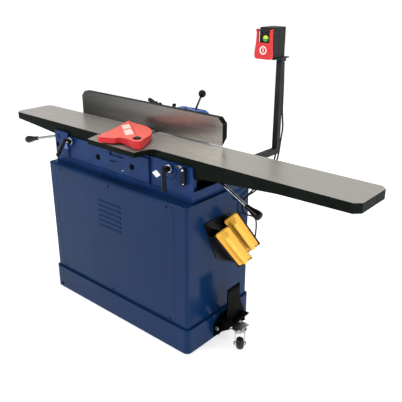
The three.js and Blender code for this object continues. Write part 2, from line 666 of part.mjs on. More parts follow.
function switchBox() {
  const { x0, x1, y0, y1, z0, z1 } = BOX;
  const shape = new THREE.Shape();
  const radius = 5;
  shape.absarc(x1 - radius, z1 - radius, radius, 0, Math.PI / 2);
  shape.absarc(x0 + radius, z1 - radius, radius, Math.PI / 2, Math.PI);
  shape.absarc(x0 + radius, z0 + radius, radius, Math.PI, 1.5 * Math.PI);
  shape.absarc(x1 - radius, z0 + radius, radius, 1.5 * Math.PI, 2 * Math.PI);
  const housing = prism(shape, 'y', y0, y1, 4);
  const { y, z } = PADDLE_HINGE;
  const pin = rod([BOX.x0 - 14, y, z], [BOX.x1 + 6, y, z], 3, 12);
  const ears = block(446, 484, y - 4, y0 + 1, z - 5, z + 6);
  return cut(join(housing, ears, pin), rod([467, y0 - 1, 1267], [467, y0 + 12, 1267], 14, 24));
}

function stopPaddle() {
  const shape = new THREE.Shape();
  const radius = 9;
  shape.moveTo(424, 1302);
  shape.lineTo(419, 1187 + radius);
  shape.absarc(419 + radius, 1187 + radius, radius, Math.PI, 1.5 * Math.PI);
  shape.absarc(505 - radius, 1187 + radius, radius, 1.5 * Math.PI, 2 * Math.PI);
  shape.lineTo(503, 1302);
  const { y, z } = PADDLE_HINGE;
  const plate = prism(shape, 'y', y - 7, y + 2, 6);
  const window = block(438, 490, y - 20, y + 20, 1251, 1320);
  const eyes = join(rod([424, y, z], [433, y, z], 5.5, 16), rod([494, y, z], [503, y, z], 5.5, 16));
  return cut(join(cut(plate, window), eyes), rod([400, y, z], [520, y, z], 3 + RUN, 16));
}

function startButton() {
  const profile = [[0, 0], [13.4, 0], [13.4, 14], [12, 17], [0, 17]];
  return turned(profile, [467, BOX.y0 + 9, 1267], [467, 200, 1267], 24);
}

const CABLE_RADIUS = 4;
const switchCableRoute = [
  [489, 354, 1171.4], [489, 354, 1150], [491, 352, 1120], [494, 350, 1080], [496, 349, 1040], [496, 349, 1000],
  [497, 350, 960], [499, 353, 925], [501, 356, 890], [499, 353, 860], [496, 351, 830], [494, 351, 800],
  [492, 348, 772], [490, 341, 744], [486, 324, 712], [482, 295, 683], [478, 255, 662], [474, 220, 650],
  [473, 187, 640], [477, 160, 634], [482, 136, 628], [483, 121, 624], [478, 112, 622], [470, 110, 622],
  [462.5, 110, 622],
];
const motorCableRoute = [
  [462, 354, 1171.4], [463, 354, 1150], [470, 352, 1120], [478, 350, 1085], [481, 350, 1000], [481, 350, 900],
  [481, 350, 820], [480, 349, 790], [478, 346, 764], [476, 336, 735], [474, 315, 700], [471, 285, 668],
  [468, 255, 645], [466, 218, 627], [464, 190, 622], [461, 165, 617], [458.5, 145, 606], [459, 135, 590],
  [461, 133, 572], [463, 140, 553], [465, 158, 535], [467, 185, 522], [468, 212, 508], [468, 230, 490],
  [468, 236, 465], [467, 237, 433], [466, 234, 398], [460, 233, 368], [445, 237, 346], [428, 239, 334],
  [418, 235, 330], [415, 228, 330], [415, 218.4, 330],
];

// Push blocks and their holder, in the holder's own tilted frame: x out of the wall, z along the blocks
// Each block stands in its own pocket, turned outwards.
const POCKET_TURN = THREE.MathUtils.degToRad(-30);
const POCKETS = [
  { at: [60, 32, 0], left: -40, right: 34, lip: -1 },
  { at: [40, 111, -27], left: -34, right: 40, lip: 1 },
];

function blockHolder() {
  const sheet = 3.5;
  const bottom = -BLOCK_LENGTH - 8;
  const wallPlate = [[12, 40], [89, -13], [149, -79], [152, -100], [152, -268], [60, -285], [-10, -244],
    [-40, -153]];
  let body = prism(wallPlate, 'x', 0, sheet);
  for (const { at, left, right, lip } of POCKETS) {
    const plate = block(-1.5 - sheet, -1.5, left, right, bottom, -6);
    const side = lip < 0 ? [left, left + sheet] : [right - sheet, right];
    const edges = [block(-2, 5, ...side, bottom, -30), block(-2, 8, left, right, bottom, bottom + sheet)];
    const place = new THREE.Matrix4().makeRotationZ(POCKET_TURN).setPosition(...at);
    body = join(body, join(plate, ...edges).transform(place.elements));
  }
  // webs from the wall plate to the pockets
  const webs = [[36, -2, -240, -25], [58, 38, -240, -40], [27.5, 98, -260, -110], [55, 143, -262, -115]];
  return join(body, ...webs.map(([reach, y, low, high]) => block(0, reach, y, y + 4, low, high)));
}

function pushBlock() {
  const section = new THREE.Shape();
  const [half, lip, rise] = [BLOCK_WIDTH / 2, 9, 40];
  section.moveTo(0, -half);
  section.lineTo(lip, -half);
  section.lineTo(lip, -15);
  section.bezierCurveTo(lip + 4, -12, rise - 6, -13, rise, -6);
  section.bezierCurveTo(rise + 2, -3, rise + 2, 3, rise, 6);
  section.bezierCurveTo(rise - 6, 13, lip + 4, 12, lip, 15);
  section.lineTo(lip, half);
  section.lineTo(0, half);
  const ridged = prism(section, 'z', -BLOCK_LENGTH, 0, 5);
  const ends = [[-1, -BLOCK_LENGTH - 1], [lip, -BLOCK_LENGTH - 1], [lip, -BLOCK_LENGTH + 18],
    [rise + 4, -BLOCK_LENGTH + 34], [rise + 4, -26], [lip, -12], [lip, 1], [-1, 1]];
  return ridged.intersect(prism(ends, 'y', -half - 1, half + 1));
}

function placed(body, at) {
  body.position.set(...at);
  body.rotation.z = POCKET_TURN;
  return body;
}

// Mobile base: bracket on the plinth, foot pedal lever, swivel caster
function pedalBracket() {
  const [x0, x1] = [PLINTH_X + GAP, 500];
  const [y0, y1] = [-44, 72];
  const sheet = 6;
  const back = prism([[y0, 8], [y1, 8], [y1, 108], [40, 108], [-6, 92], [y0, 66]], 'x', x0, x0 + sheet);
  const frontCheek = [[x0, 8], [x1 - 12, 30], [x1, 50], [x1 - 2, 70], [x1 - 14, 80], [470, 82], [x0, 66]];
  const rearCheek = [[x0, 8], [x1 - 12, 30], [x1, 50], [x1 - 4, 76], [x0 + 10, 108], [x0, 108]];
  const body = join(back, prism(frontCheek, 'y', y0, y0 + sheet), prism(rearCheek, 'y', y1 - sheet, y1));
  const { x, z } = PEDAL_PIVOT;
  const pin = rod([x, y0 - 6, z], [x, y1 + 6, z], 7, 12);
  const head = rod([x, y0 - 6, z], [x, y0, z], 11, 6);
  return join(body, pin, head);
}

function footPedal() {
  const { x, z } = PEDAL_PIVOT;
  const [y0, y1] = [-36, 88];
  const arm = [[x - 14, z - 12], [x + 14, z - 18], [552, 82], [552, 107], [540, 124], [x + 20, 104],
    [x - 14, z + 14]];
  const arms = join(prism(arm, 'y', -34, -28), prism(arm, 'y', 54, 60));
  const plate = prism([[y0, 104], [y1, 104], [48, 199], [46, 268], [y0, 266]], 'x', 522, 528);
  const knee = block(522, 552, y0, y1, 100, 107);
  const flange = block(540, 560, y0, 17, 94, 100.7);
  const step = prism([[522, 266], [528, 266], [534, 258], [528, 254], [522, 254]], 'y', -34, 44);
  const tube = rod([x, -37, z], [x, 65, z], 12, 12);
  const webs = [-12, 20].map((y) => prism([[x - 2, z + 4], [x + 16, z], [528, 101], [528, 110], [522, 112]],
    'y', y, y + 6));
  const joined = join(arms, knee, plate, flange, step, tube, ...webs);
  return cut(joined, rod([x, -120, z], [x, 110, z], 7 + RUN, 12));
}

// The caster's fixed top plate, bolted over the pedal's flange, with the swivel stud
function casterPlate() {
  const plate = block(556, 607, -60, 17, 101, 104.5);
  return join(plate, rod([CASTER.x, CASTER.y, 90], [CASTER.x, CASTER.y, 104], 6, 12));
}

// Caster, in its own frame: origin on the swivel axis, the wheel's axle along x
function casterFork() {
  const { trail, axleZ, wide } = CASTER;
  const inside = wide / 2 + 2;
  const disk = cut(rod([0, 0, 84], [0, 0, 100.6], 26, 20, 20), rod([0, 0, 70], [0, 0, 110], 6 + RUN, 12));
  const legShape = [[-trail - 12, axleZ - 10], [-trail + 12, axleZ - 10], [22, 80], [22, 88], [-22, 88]];
  const legs = [-inside - 3, inside].map((x) => prism(legShape, 'x', x, x + 3));
  const hole = rod([0, 0, 70], [0, 0, 95], 6 + RUN, 12);
  const bridge = cut(block(-inside - 3, inside + 3, -22, 22, 80, 88), hole);
  const axle = rod([-inside - 9, -trail, axleZ], [inside + 9, -trail, axleZ], 5, 12);
  return join(disk, bridge, ...legs, axle);
}

function casterWheel() {
  const { trail, axleZ, radius, wide } = CASTER;
  const profile = [[5 + RUN, 0], [14, 0], [16, 2], [radius - 5, 2], [radius, 8], [radius, wide - 8],
    [radius - 5, wide - 2], [16, wide - 2], [14, wide], [5 + RUN, wide], [5 + RUN, 0]];
  return turned(profile, [-wide / 2, -trail, axleZ], [wide / 2, -trail, axleZ], 20);
}

// Assembly
const base = group(
  mesh('plinth', plinth(), cabinetPaint()),
  mesh('cabinet_shell', cabinetShell(), cabinetPaint()),
  mesh('front_panel', frontPanel(), cabinetPaint()),
  mesh('rear_panel', rearPanel(), cabinetPaint()),
  mesh('foot_front_left', foot(-350, -180), rubber()),
  mesh('foot_front_right', foot(420, -185), rubber()),
  mesh('foot_back_left', foot(-350, 180), rubber()),
  mesh('foot_back_right', foot(420, 185), rubber()),
  mesh('rear_wheel_front', rearWheel(-1), rubber()),
  mesh('rear_wheel_back', rearWheel(1), rubber()),
  mesh('dust_chute', dustChute(), blackSteel()),
  mesh('mains_gland', mainsGland(), blackPlastic()),
);

const drive = group(
  mesh('main_casting', mainCasting(), castingPaint()),
  mesh('bearing_front', bearingBlock(-155, -145.3), castingPaint()),
  mesh('bearing_rear', bearingBlock(69.8, 79.5), castingPaint()),
  mesh('cutterhead', cutterhead(), steel()),
  mesh('head_pulley', pulley(0, HEAD_Z, HEAD_PULLEY, JOURNAL + GAP, 96, 116), steel()),
  mesh('motor_pulley', pulley(MOTOR.x, MOTOR.z, MOTOR_PULLEY, 10 + GAP, 96, 116), steel()),
  mesh('drive_belt', driveBelt(), rubber()),
  mesh('motor', motor(), blackSteel()),
  mesh('motor_stand', motorStand(), blackSteel()),
  mesh('belt_cover', beltCover(), blackSteel()),
);

const beds = group(
  mesh('infeed_table', infeedTable(), groundIron()),
  mesh('outfeed_table', outfeedTable(), groundIron()),
  mesh('infeed_link_inner', tableLink(INNER_PIVOT, INFEED_PIVOT_Z, -1), steel()),
  mesh('infeed_link_outer', tableLink(OUTER_PIVOT, INFEED_PIVOT_Z, -1), steel()),
  mesh('outfeed_link_inner', tableLink(-INNER_PIVOT, OUTFEED_PIVOT_Z, 1), steel()),
  mesh('outfeed_link_outer', tableLink(-OUTER_PIVOT, OUTFEED_PIVOT_Z, 1), steel()),
  mesh('infeed_lever', liftRod(LIFT.infeed), chrome()),
  mesh('infeed_grip', liftGrip(LIFT.infeed), blackPlastic()),
  mesh('outfeed_lever', liftRod(LIFT.outfeed), chrome()),
  mesh('outfeed_grip', liftGrip(LIFT.outfeed), blackPlastic()),
  mesh('outfeed_lock_lever', ratchetLever(-327, 782, -176, -158.3, [-334, -184, 790], [-397, -188, 702]),
    blackPlastic()),
  mesh('infeed_lock_lever', ratchetLever(309, 790, -182, -158.3, [319, -196, 800], [330, -205, 708]),
    blackPlastic()),
  mesh('depth_stop_lever', depthStopLever(), blackPlastic()),
);

const fenceSet = group(
  mesh('fence_base', fenceBase(), castingPaint()),
  mesh('fence_carriage', fenceCarriage(), castingPaint()),
  mesh('fence_bracket', fenceBracket(), castingPaint()),
  mesh('fence', fence(), groundIron()),
  mesh('tilt_lock_handle', tiltLockHandle(), blackPlastic()),
  mesh('stop_knob', stopKnob(), blackPlastic()),
  mesh('slide_lock_rod', slideLockRod(), chrome()),
  mesh('slide_lock_ball', slideLockBall(), blackPlastic()),
);

const guard = group(
  mesh('cutter_guard', cutterGuard(), redPlastic()),
  mesh('guard_knob', guardKnob(), blackPlastic()),
);

const switchStand = group(
  mesh('switch_arm', switchArm(), blackSteel()),
  mesh('switch_post', switchPost(), blackSteel()),
  mesh('switch_box', switchBox(), blackPlastic()),
  mesh('stop_paddle', stopPaddle(), redPlastic()),
  mesh('start_button', startButton(), look(0x3fae49, 0.4, 0)),
  mesh('switch_cable', cable(switchCableRoute, CABLE_RADIUS, 36), rubber()),
  mesh('motor_cable', cable(motorCableRoute, CABLE_RADIUS, 48), rubber()),
);

const pushBlocks = group(
  mesh('block_holder', blockHolder(), blackPlastic()),
  ...POCKETS.map(({ at }, i) => placed(mesh(`push_block_${i + 1}`, pushBlock(), yellowPlastic()), at)),
);
pushBlocks.position.set(CABINET_X + GAP, -90, 530);
pushBlocks.rotation.x = HOLDER_TILT;

const caster = group(
  mesh('caster_fork', casterFork(), zinc()),
  mesh('caster_wheel', casterWheel(), rubber()),
);
caster.position.set(CASTER.x, CASTER.y, 0);
caster.rotation.z = CASTER_TURN;

const mobileBase = group(
  mesh('pedal_bracket', pedalBracket(), blackSteel()),
  mesh('foot_pedal', footPedal(), blackSteel()),
  mesh('caster_plate', casterPlate(), zinc()),
  caster,
);

export default group(base, drive, beds, fenceSet, guard, switchStand, pushBlocks, mobileBase);
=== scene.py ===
# The looks of the jointer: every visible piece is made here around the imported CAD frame.
# +X is to the infeed end, +Y to the fence and +Z up. Camera, lights and textures are in metres,
# and the pieces are drawn in millimetres.
import json
import math

import bmesh
import bpy
from mathutils import Matrix, Vector
from mathutils.bvhtree import BVHTree


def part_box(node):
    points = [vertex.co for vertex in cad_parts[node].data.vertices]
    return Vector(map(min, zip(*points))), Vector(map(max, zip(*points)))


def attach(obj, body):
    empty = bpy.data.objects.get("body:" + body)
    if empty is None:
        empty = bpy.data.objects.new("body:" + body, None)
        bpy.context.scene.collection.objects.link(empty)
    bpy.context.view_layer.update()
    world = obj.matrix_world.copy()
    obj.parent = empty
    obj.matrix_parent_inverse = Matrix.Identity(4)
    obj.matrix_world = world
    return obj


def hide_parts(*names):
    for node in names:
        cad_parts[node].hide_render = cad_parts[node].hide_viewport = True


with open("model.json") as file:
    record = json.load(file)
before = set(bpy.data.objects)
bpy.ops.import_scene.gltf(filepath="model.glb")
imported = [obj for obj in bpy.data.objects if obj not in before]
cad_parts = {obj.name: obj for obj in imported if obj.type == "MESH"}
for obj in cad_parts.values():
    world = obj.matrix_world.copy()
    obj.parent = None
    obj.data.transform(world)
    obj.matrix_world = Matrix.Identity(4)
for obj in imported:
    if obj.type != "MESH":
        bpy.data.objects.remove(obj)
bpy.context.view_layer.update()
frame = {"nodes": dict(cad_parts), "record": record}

NODES = frame["nodes"]
RECORD = frame["record"]
SLOT_OF = {part["node"]: part["material_slot"] for part in RECORD["subparts"]}
BODY_OF = {node: body for body, nodes in RECORD["behaviour"]["bodies"].items() for node in nodes}
MM = 0.001


# ---- camera, light and floor
FLOOR_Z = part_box("foot_front_right")[0].z
FLOOR_HALF = 70
FRAME_PIXELS = 402
FOCAL_PIXELS = 556.86
SENSOR_MM = 36
CAMERA_REACH = 200
CAMERA = {"at": (1.775, -1.6553, 1.4921), "yaw": 40.868, "pitch": -21.887, "roll": 0.258}
WORLD_FADE = {"From Min": 0.03, "From Max": 0.5, "To Min": 1.05, "To Max": 0.5}
# name: where it stands, what it points at, its size and its power
LIGHTS = {
    "key": ((-1.4, -3.2, 2.6), (0, 0, 0.55), (2.2, 1.6), 80),
    "top": ((0.2, 0.3, 3.6), (0.2, 0, 0.6), (3.0, 2.0), 45),
    "rim": ((3.2, 1.6, 2.2), (0.5, 0, 0.7), (1.2, 1.8), 30),
    "side": ((3.4, -0.7, 0.9), (0.4, 0, 0.4), (1.2, 1.4), 26),
}


def make_camera():
    """The camera of the view: yaw from +Y towards -X, then pitch, then roll, in degrees."""
    yaw, pitch, roll = (math.radians(CAMERA[k]) for k in ("yaw", "pitch", "roll"))
    forward = Vector((-math.sin(yaw) * math.cos(pitch), math.cos(yaw) * math.cos(pitch), math.sin(pitch)))
    level = Vector((math.cos(yaw), math.sin(yaw), 0))
    upright = level.cross(forward)
    right = math.cos(roll) * level + math.sin(roll) * upright
    up = -math.sin(roll) * level + math.cos(roll) * upright
    data = bpy.data.cameras.new("camera")
    data.sensor_width = SENSOR_MM
    data.lens = FOCAL_PIXELS / FRAME_PIXELS * SENSOR_MM
    data.clip_end = CAMERA_REACH
    camera = bpy.data.objects.new("camera", data)
    bpy.context.scene.collection.objects.link(camera)
    camera.matrix_world = Matrix((
        (right.x, up.x, -forward.x, CAMERA["at"][0]),
        (right.y, up.y, -forward.y, CAMERA["at"][1]),
        (right.z, up.z, -forward.z, CAMERA["at"][2]),
        (0, 0, 0, 1)))
    bpy.context.scene.camera = camera


def area_light(name, at, target, size, power):
    """A soft box that stands at one place and points at another."""
    data = bpy.data.lights.new(name, "AREA")
    data.shape = "RECTANGLE"
    data.size, data.size_y = size
    data.energy = power
    light = bpy.data.objects.new(name, data)
    bpy.context.scene.collection.objects.link(light)
    light.location = at
    light.rotation_mode = "QUATERNION"
    light.rotation_quaternion = (Vector(target) - Vector(at)).to_track_quat("-Z", "Y")


def make_world():
    """White at the horizon and dimmer overhead, as in a cove."""
    world = bpy.data.worlds.new("studio")
    world.use_nodes = True
    tree = world.node_tree
    split = tree.nodes.new("ShaderNodeSeparateXYZ")
    tree.links.new(tree.nodes.new("ShaderNodeTexCoord").outputs["Generated"], split.inputs[0])
    fade = tree.nodes.new("ShaderNodeMapRange")
    for socket, value in WORLD_FADE.items():
        fade.inputs[socket].default_value = value
    tree.links.new(split.outputs["Z"], fade.inputs["Value"])
    tree.links.new(fade.outputs["Result"], tree.nodes["Background"].inputs["Strength"])
    tree.nodes["Background"].inputs["Color"].default_value = (1, 1, 1, 1)
    bpy.context.scene.world = world


def make_stage():
    """The world, the four soft boxes and a white floor that runs to the horizon."""
    make_world()
    for name, setting in LIGHTS.items():
        area_light(name, *setting)
    mesh = bpy.data.meshes.new("floor")
    corners = [(x * FLOOR_HALF, y * FLOOR_HALF, FLOOR_Z) for x, y in ((-1, -1), (1, -1), (1, 1), (-1, 1))]
    mesh.from_pydata(corners, [], [(0, 1, 2, 3)])
    floor = bpy.data.objects.new("floor", mesh)
    bpy.context.scene.collection.objects.link(floor)
    paper = Shader("floor_white", (0.86, 0.86, 0.86), 0.8,
                   Emission_Color=(1, 1, 1, 1), Emission_Strength=0.55)
    paper.roughness_from(paper.ramp(paper.noise(2, 2), 0.7, 0.9))
    mesh.materials.append(paper.material)
    bpy.context.scene.view_settings.view_transform = "Standard"


# ---- materials
def srgb(*levels):
    """A linear colour from 0 to 255 display levels."""
    return tuple(((v / 255 + 0.055) / 1.055) ** 2.4 if v > 10 else v / 255 / 12.92 for v in levels)


# The colour sockets of Blender's Mix node
MIX_A, MIX_B, MIX_RESULT = 6, 7, 2


class Shader:
    """A Principled material with short helpers for its nodes."""

    def __init__(self, name, color, roughness, metallic=0.0, **inputs):
        self.material = bpy.data.materials.new(name)
        self.material.use_nodes = True
        self.tree = self.material.node_tree
        self.surface = self.tree.nodes["Principled BSDF"]
        self.set("Base Color", (*color, 1))
        self.set("Roughness", roughness)
        self.set("Metallic", metallic)
        for key, value in inputs.items():
            self.set(key.replace("_", " "), value)

    def set(self, socket, value):
        self.surface.inputs[socket].default_value = value

    def node(self, kind, **settings):
        made = self.tree.nodes.new(kind)
        for key, value in settings.items():
            setattr(made, key, value)
        return made

    def link(self, start, end):
        self.tree.links.new(start, end)

    def coordinates(self, scale=(1, 1, 1)):
        """Object coordinates, in metres, drawn out along the axes whose scale is small."""
        place = self.node("ShaderNodeMapping")
        place.inputs["Scale"].default_value = scale
        self.link(self.node("ShaderNodeTexCoord").outputs["Object"], place.inputs["Vector"])
        return place.outputs["Vector"]

    def axis(self, letter):
        split = self.node("ShaderNodeSeparateXYZ")
        self.link(self.coordinates(), split.inputs[0])
        return split.outputs[letter]

    def noise(self, scale, detail=3.0, stretch=(1, 1, 1)):
        made = self.node("ShaderNodeTexNoise")
        made.inputs["Scale"].default_value = scale
        made.inputs["Detail"].default_value = detail
        self.link(self.coordinates(stretch), made.inputs["Vector"])
        return made.outputs["Fac"]

    def ramp(self, value, low, high, start=0.3, stop=0.7):
        """Low where the value is at start, high where it is at stop."""
        made = self.node("ShaderNodeMapRange")
        made.inputs["From Min"].default_value = start
        made.inputs["From Max"].default_value = stop
        made.inputs["To Min"].default_value = low
        made.inputs["To Max"].default_value = high
        self.link(value, made.inputs["Value"])
        return made.outputs["Result"]

    def blend(self, factor, color_a, color_b):
        made = self.node("ShaderNodeMix", data_type="RGBA")
        self.link(factor, made.inputs["Factor"])
        for socket, color in ((MIX_A, color_a), (MIX_B, color_b)):
            if isinstance(color, tuple):
                made.inputs[socket].default_value = (*color, 1)
            else:
                self.link(color, made.inputs[socket])
        return made.outputs[MIX_RESULT]

    def bump(self, height, distance, strength):
        """Adds relief, on top of any that is there already; the distance is in metres."""
        made = self.node("ShaderNodeBump")
        made.inputs["Distance"].default_value = distance
        made.inputs["Strength"].default_value = strength
        self.link(height, made.inputs["Height"])
        if self.surface.inputs["Normal"].is_linked:
            self.link(self.surface.inputs["Normal"].links[0].from_socket, made.inputs["Normal"])
        self.link(made.outputs["Normal"], self.surface.inputs["Normal"])

    def color_from(self, socket):
        self.link(socket, self.surface.inputs["Base Color"])

    def roughness_from(self, socket):
        self.link(socket, self.surface.inputs["Roughness"])


def sheet_paint(name, dark, light, roughness=(0.13, 0.24)):
    """Gloss enamel on sheet steel: faint orange peel, dust and uneven sheen."""
    made = Shader(name, dark, roughness[0], Specular_IOR_Level=0.1)
    made.color_from(made.blend(made.ramp(made.noise(3.5, 4), 0, 1), dark, light))
    made.roughness_from(made.ramp(made.noise(9, 5), *roughness))
    made.bump(made.noise(260, 2), 0.00006, 0.2)
    return made.material


def cast_paint(name, dark, light):
    """Thick enamel over sand casting: pebbled, with pooled lighter patches."""
    made = Shader(name, dark, 0.35, Specular_IOR_Level=0.13)
    made.color_from(made.blend(made.ramp(made.noise(14, 4), 0, 1), dark, light))
    made.roughness_from(made.ramp(made.noise(40, 4), 0.26, 0.44))
    made.bump(made.noise(190, 3), 0.0005, 0.4)
    made.bump(made.noise(30, 2), 0.0012, 0.3)
    return made.material


def ground_metal(name, color, streak, tone, roughness=(0.27, 0.4), metallic=0.5, fade=None):
    """Ground iron: fine lines along the axis whose streak is small, faint bands and oil marks.

    A fade is a second colour and the two places along X between which it takes over, a painted change of
    light and reflection along the part.
    """
    made = Shader(name, color, roughness[0], metallic)
    lines = made.noise(260, 3, streak)
    bands = made.noise(5, 2, tuple(1 if s < 0.5 else 0.15 for s in streak))
    shade = tuple(tone * c for c in color)
    mixed = made.blend(made.ramp(lines, 0, 1, 0.35, 0.65), shade, color)
    cloudy = made.blend(made.ramp(bands, 0, 0.5), mixed, shade)
    if fade:
        painted_light_color, near, far = fade
        cloudy = made.blend(made.ramp(made.axis("X"), 0, 1, near, far), cloudy, painted_light_color)
    made.color_from(cloudy)
    made.roughness_from(made.ramp(made.noise(60, 4, streak), *roughness))
    made.bump(lines, 0.00003, 0.5)
    return made.material


def moulded(name, color, roughness, grain=900, depth=0.00006, variation=0.88, specular=0.3):
    """Injection moulded plastic with a fine spark eroded grain."""
    made = Shader(name, color, roughness, Specular_IOR_Level=specular)
    shade = tuple(variation * c for c in color)
    made.color_from(made.blend(made.ramp(made.noise(22, 3), 0, 1), shade, color))
    made.roughness_from(made.ramp(made.noise(70, 3), roughness - 0.05, roughness + 0.08))
    made.bump(made.noise(grain, 2), depth, 0.5)
    return made.material


def powder_coat(name, color, roughness=0.42, specular=0.08):
    """Baked powder: an even fine pebble with slightly paler patches."""
    made = Shader(name, color, roughness, Specular_IOR_Level=specular)
    lighter = tuple(1.5 * c + 0.001 for c in color)
    made.color_from(made.blend(made.ramp(made.noise(12, 4), 0, 1), color, lighter))
    made.roughness_from(made.ramp(made.noise(110, 3), roughness - 0.1, roughness + 0.1))
    made.bump(made.noise(700, 2), 0.00012, 0.6)
    return made.material


def bright_metal(name, color, roughness, grain=0.00002):
    """Plated steel: tiny ripples, with cloudier patches where it has been handled."""
    made = Shader(name, color, roughness, 1.0)
    shade = tuple(0.82 * c for c in color)
    made.color_from(made.blend(made.ramp(made.noise(30, 3), 0, 0.6), color, shade))
    made.roughness_from(made.ramp(made.noise(90, 4), roughness * 0.7, roughness * 1.5))
    made.bump(made.noise(500, 2), grain, 0.4)
    return made.material


def soft_rubber(name, color, roughness=0.7):
    """Dull rubber with dust in its pores."""
    made = Shader(name, color, roughness, Specular_IOR_Level=0.06)
    dusty = tuple(c + 0.006 for c in color)
    made.color_from(made.blend(made.ramp(made.noise(18, 5), 0, 1, 0.45, 0.75), color, dusty))
    made.roughness_from(made.ramp(made.noise(50, 3), roughness - 0.12, roughness + 0.1))
    made.bump(made.noise(600, 2), 0.00008, 0.5)
    return made.material


GRIND_ALONG_X = (0.02, 1, 1)
GRIND_ALONG_Y = (1, 0.05, 1)
LOOKS = {
    "cabinet": sheet_paint("cabinet_enamel", srgb(8, 35, 68), srgb(11, 40, 78)),
    "casting": cast_paint("casting_enamel", srgb(7, 38, 80), srgb(12, 46, 96)),
    "ground": ground_metal("ground_table_iron", srgb(172, 168, 160), GRIND_ALONG_X, 0.9),
    # the fence face is the tables' ground iron painted darker, going lighter towards +X: painted shade and
    # reflection on its upright face
    "fence_face": ground_metal("ground_fence_iron", srgb(70, 70, 68), GRIND_ALONG_X, 0.85, (0.2, 0.3), 0.75,
                               (srgb(142, 140, 135), -0.45, 0.42)),
    "dark_iron": powder_coat("dark_table_sides", srgb(11, 16, 13), 0.4, 0.025),
    "steel": ground_metal("turned_steel", srgb(150, 150, 150), GRIND_ALONG_Y, 0.9, (0.22, 0.38), 1.0),
    "chrome": bright_metal("chrome_plate", srgb(215, 217, 220), 0.1),
    # a darker, duller copy of the chrome, used on the outfeed lift lever only
    "worn_chrome": bright_metal("darker_chrome_plate", srgb(150, 151, 153), 0.16),
    "zinc": bright_metal("zinc_plate", srgb(178, 179, 178), 0.2, 0.00006),
    "black_steel": powder_coat("black_powder_coat", srgb(5, 5, 6), 0.42, 0.02),
    "post_steel": powder_coat("post_powder_coat", srgb(28, 29, 30), 0.45, 0.12),
    "black": moulded("black_plastic", srgb(11, 11, 12), 0.3, specular=0.13),
    "ball": moulded("ball_plastic", srgb(13, 13, 14), 0.22, specular=0.14),
    "tread": moulded("black_tread", srgb(15, 15, 16), 0.25, 300, 0.0001, 0.8, 0.3),
    # a lighter copy of the casting blue for the fence carriage: painted reflection of a pale hazy sheen
    "carriage": cast_paint("carriage_enamel_painted_reflection", srgb(58, 88, 150), srgb(74, 104, 168)),
    "box_black": moulded("switch_box_plastic", srgb(20, 21, 22), 0.5, 500, 0.00012, 0.88, 0.2),
    "rubber": soft_rubber("black_rubber", srgb(20, 20, 20)),
    "cable": soft_rubber("cable_sheath", srgb(9, 9, 10), 0.45),
    "red": moulded("guard_red", srgb(184, 36, 40), 0.36, 400, 0.00008, 0.93, 0.2),
    # a lighter copy of the guard red for its top faces: painted highlight of the light on the top
    "red_painted_lit_top": moulded("guard_red_painted_lit_top", srgb(240, 106, 94), 0.4, 400, 0.00008, 0.95, 0.2),
    "paddle_red": moulded("paddle_red", srgb(205, 48, 52), 0.36, 700, 0.00004, 0.94, 0.25),
    "yellow": moulded("push_block_yellow", srgb(240, 184, 72), 0.5, 700, 0.00006, 0.95, 0.2),
    "green": moulded("start_green", srgb(64, 150, 62), 0.3),
    # a lighter copy of the green for the upper half of the start button: painted highlight
    "green_painted_highlight": moulded("start_green_painted_highlight", srgb(206, 214, 66), 0.3),
    "white": moulded("symbol_white", srgb(240, 240, 238), 0.4, 300, 0.00002, 0.97),
    "label": moulded("faded_label", srgb(238, 208, 198), 0.45, 60, 0.0001, 0.96),
    "sticker": moulded("blank_sticker", srgb(222, 222, 224), 0.35, 60, 0.0001, 0.96),
    "faded_sticker": moulded("faded_blue_sticker", srgb(92, 114, 172), 0.4, 60, 0.0001, 0.9),
    "hole": powder_coat("deep_shadow", srgb(6, 6, 7), 0.8, 0.05),
}
# The look of each material slot of the CAD
SLOT_LOOK = {
    "cabinet_paint": "cabinet", "casting_paint": "casting", "ground_iron": "ground",
    "machined_steel": "steel", "chrome": "chrome", "zinc": "zinc", "black_steel": "black_steel",
    "black_plastic": "black", "rubber": "rubber", "guard_red": "red", "button_green": "green",
    "block_yellow": "yellow",
}


# ---- mesh helpers
# Lengths are in millimetres until finish_mesh brings them to metres. Angles are in degrees.
ROUND_ANGLE = 28.0
CRISP_ANGLE = 38.0


def finish_mesh(name, bm, looks, body, slot, sharp=CRISP_ANGLE):
    """Turns a bmesh into a smooth shaded piece on a body, with edges sharper than the limit kept crisp."""
    bmesh.ops.scale(bm, vec=(MM, MM, MM), verts=bm.verts)
    bm.normal_update()
    limit = math.radians(sharp)
    for face in bm.faces:
        face.smooth = True
    for edge in bm.edges:
        edge.smooth = len(edge.link_faces) == 2 and edge.calc_face_angle(0) < limit
    mesh = bpy.data.meshes.new(name)
    bm.to_mesh(mesh)
    bm.free()
    piece = bpy.data.objects.new(name, mesh)
    bpy.context.scene.collection.objects.link(piece)
    for look in looks if isinstance(looks, list) else [looks]:
        mesh.materials.append(LOOKS[look])
    normals = piece.modifiers.new("normals", "WEIGHTED_NORMAL")
    normals.keep_sharp = True
    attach(piece, body)
    return piece


def rounded(bm, width, segments, angle):
    """Rounds every edge sharper than the angle."""
    bm.normal_update()
    limit = math.radians(angle)
    edges = [e for e in bm.edges if len(e.link_faces) == 2 and e.calc_face_angle(0) > limit]
    if edges:
        bmesh.ops.bevel(bm, geom=edges, offset=width, segments=segments, profile=0.6, affect="EDGES",
                        clamp_overlap=True)


def cad_copy(node):
    """The CAD node's solid, with its flat faces made whole again."""
    bm = bmesh.new()
    bm.from_mesh(NODES[node].data)
    bmesh.ops.scale(bm, vec=(1 / MM, 1 / MM, 1 / MM), verts=bm.verts)
    bmesh.ops.remove_doubles(bm, verts=bm.verts, dist=0.002)
    bmesh.ops.dissolve_limit(bm, angle_limit=math.radians(0.6), verts=bm.verts, edges=bm.edges)
    return bm


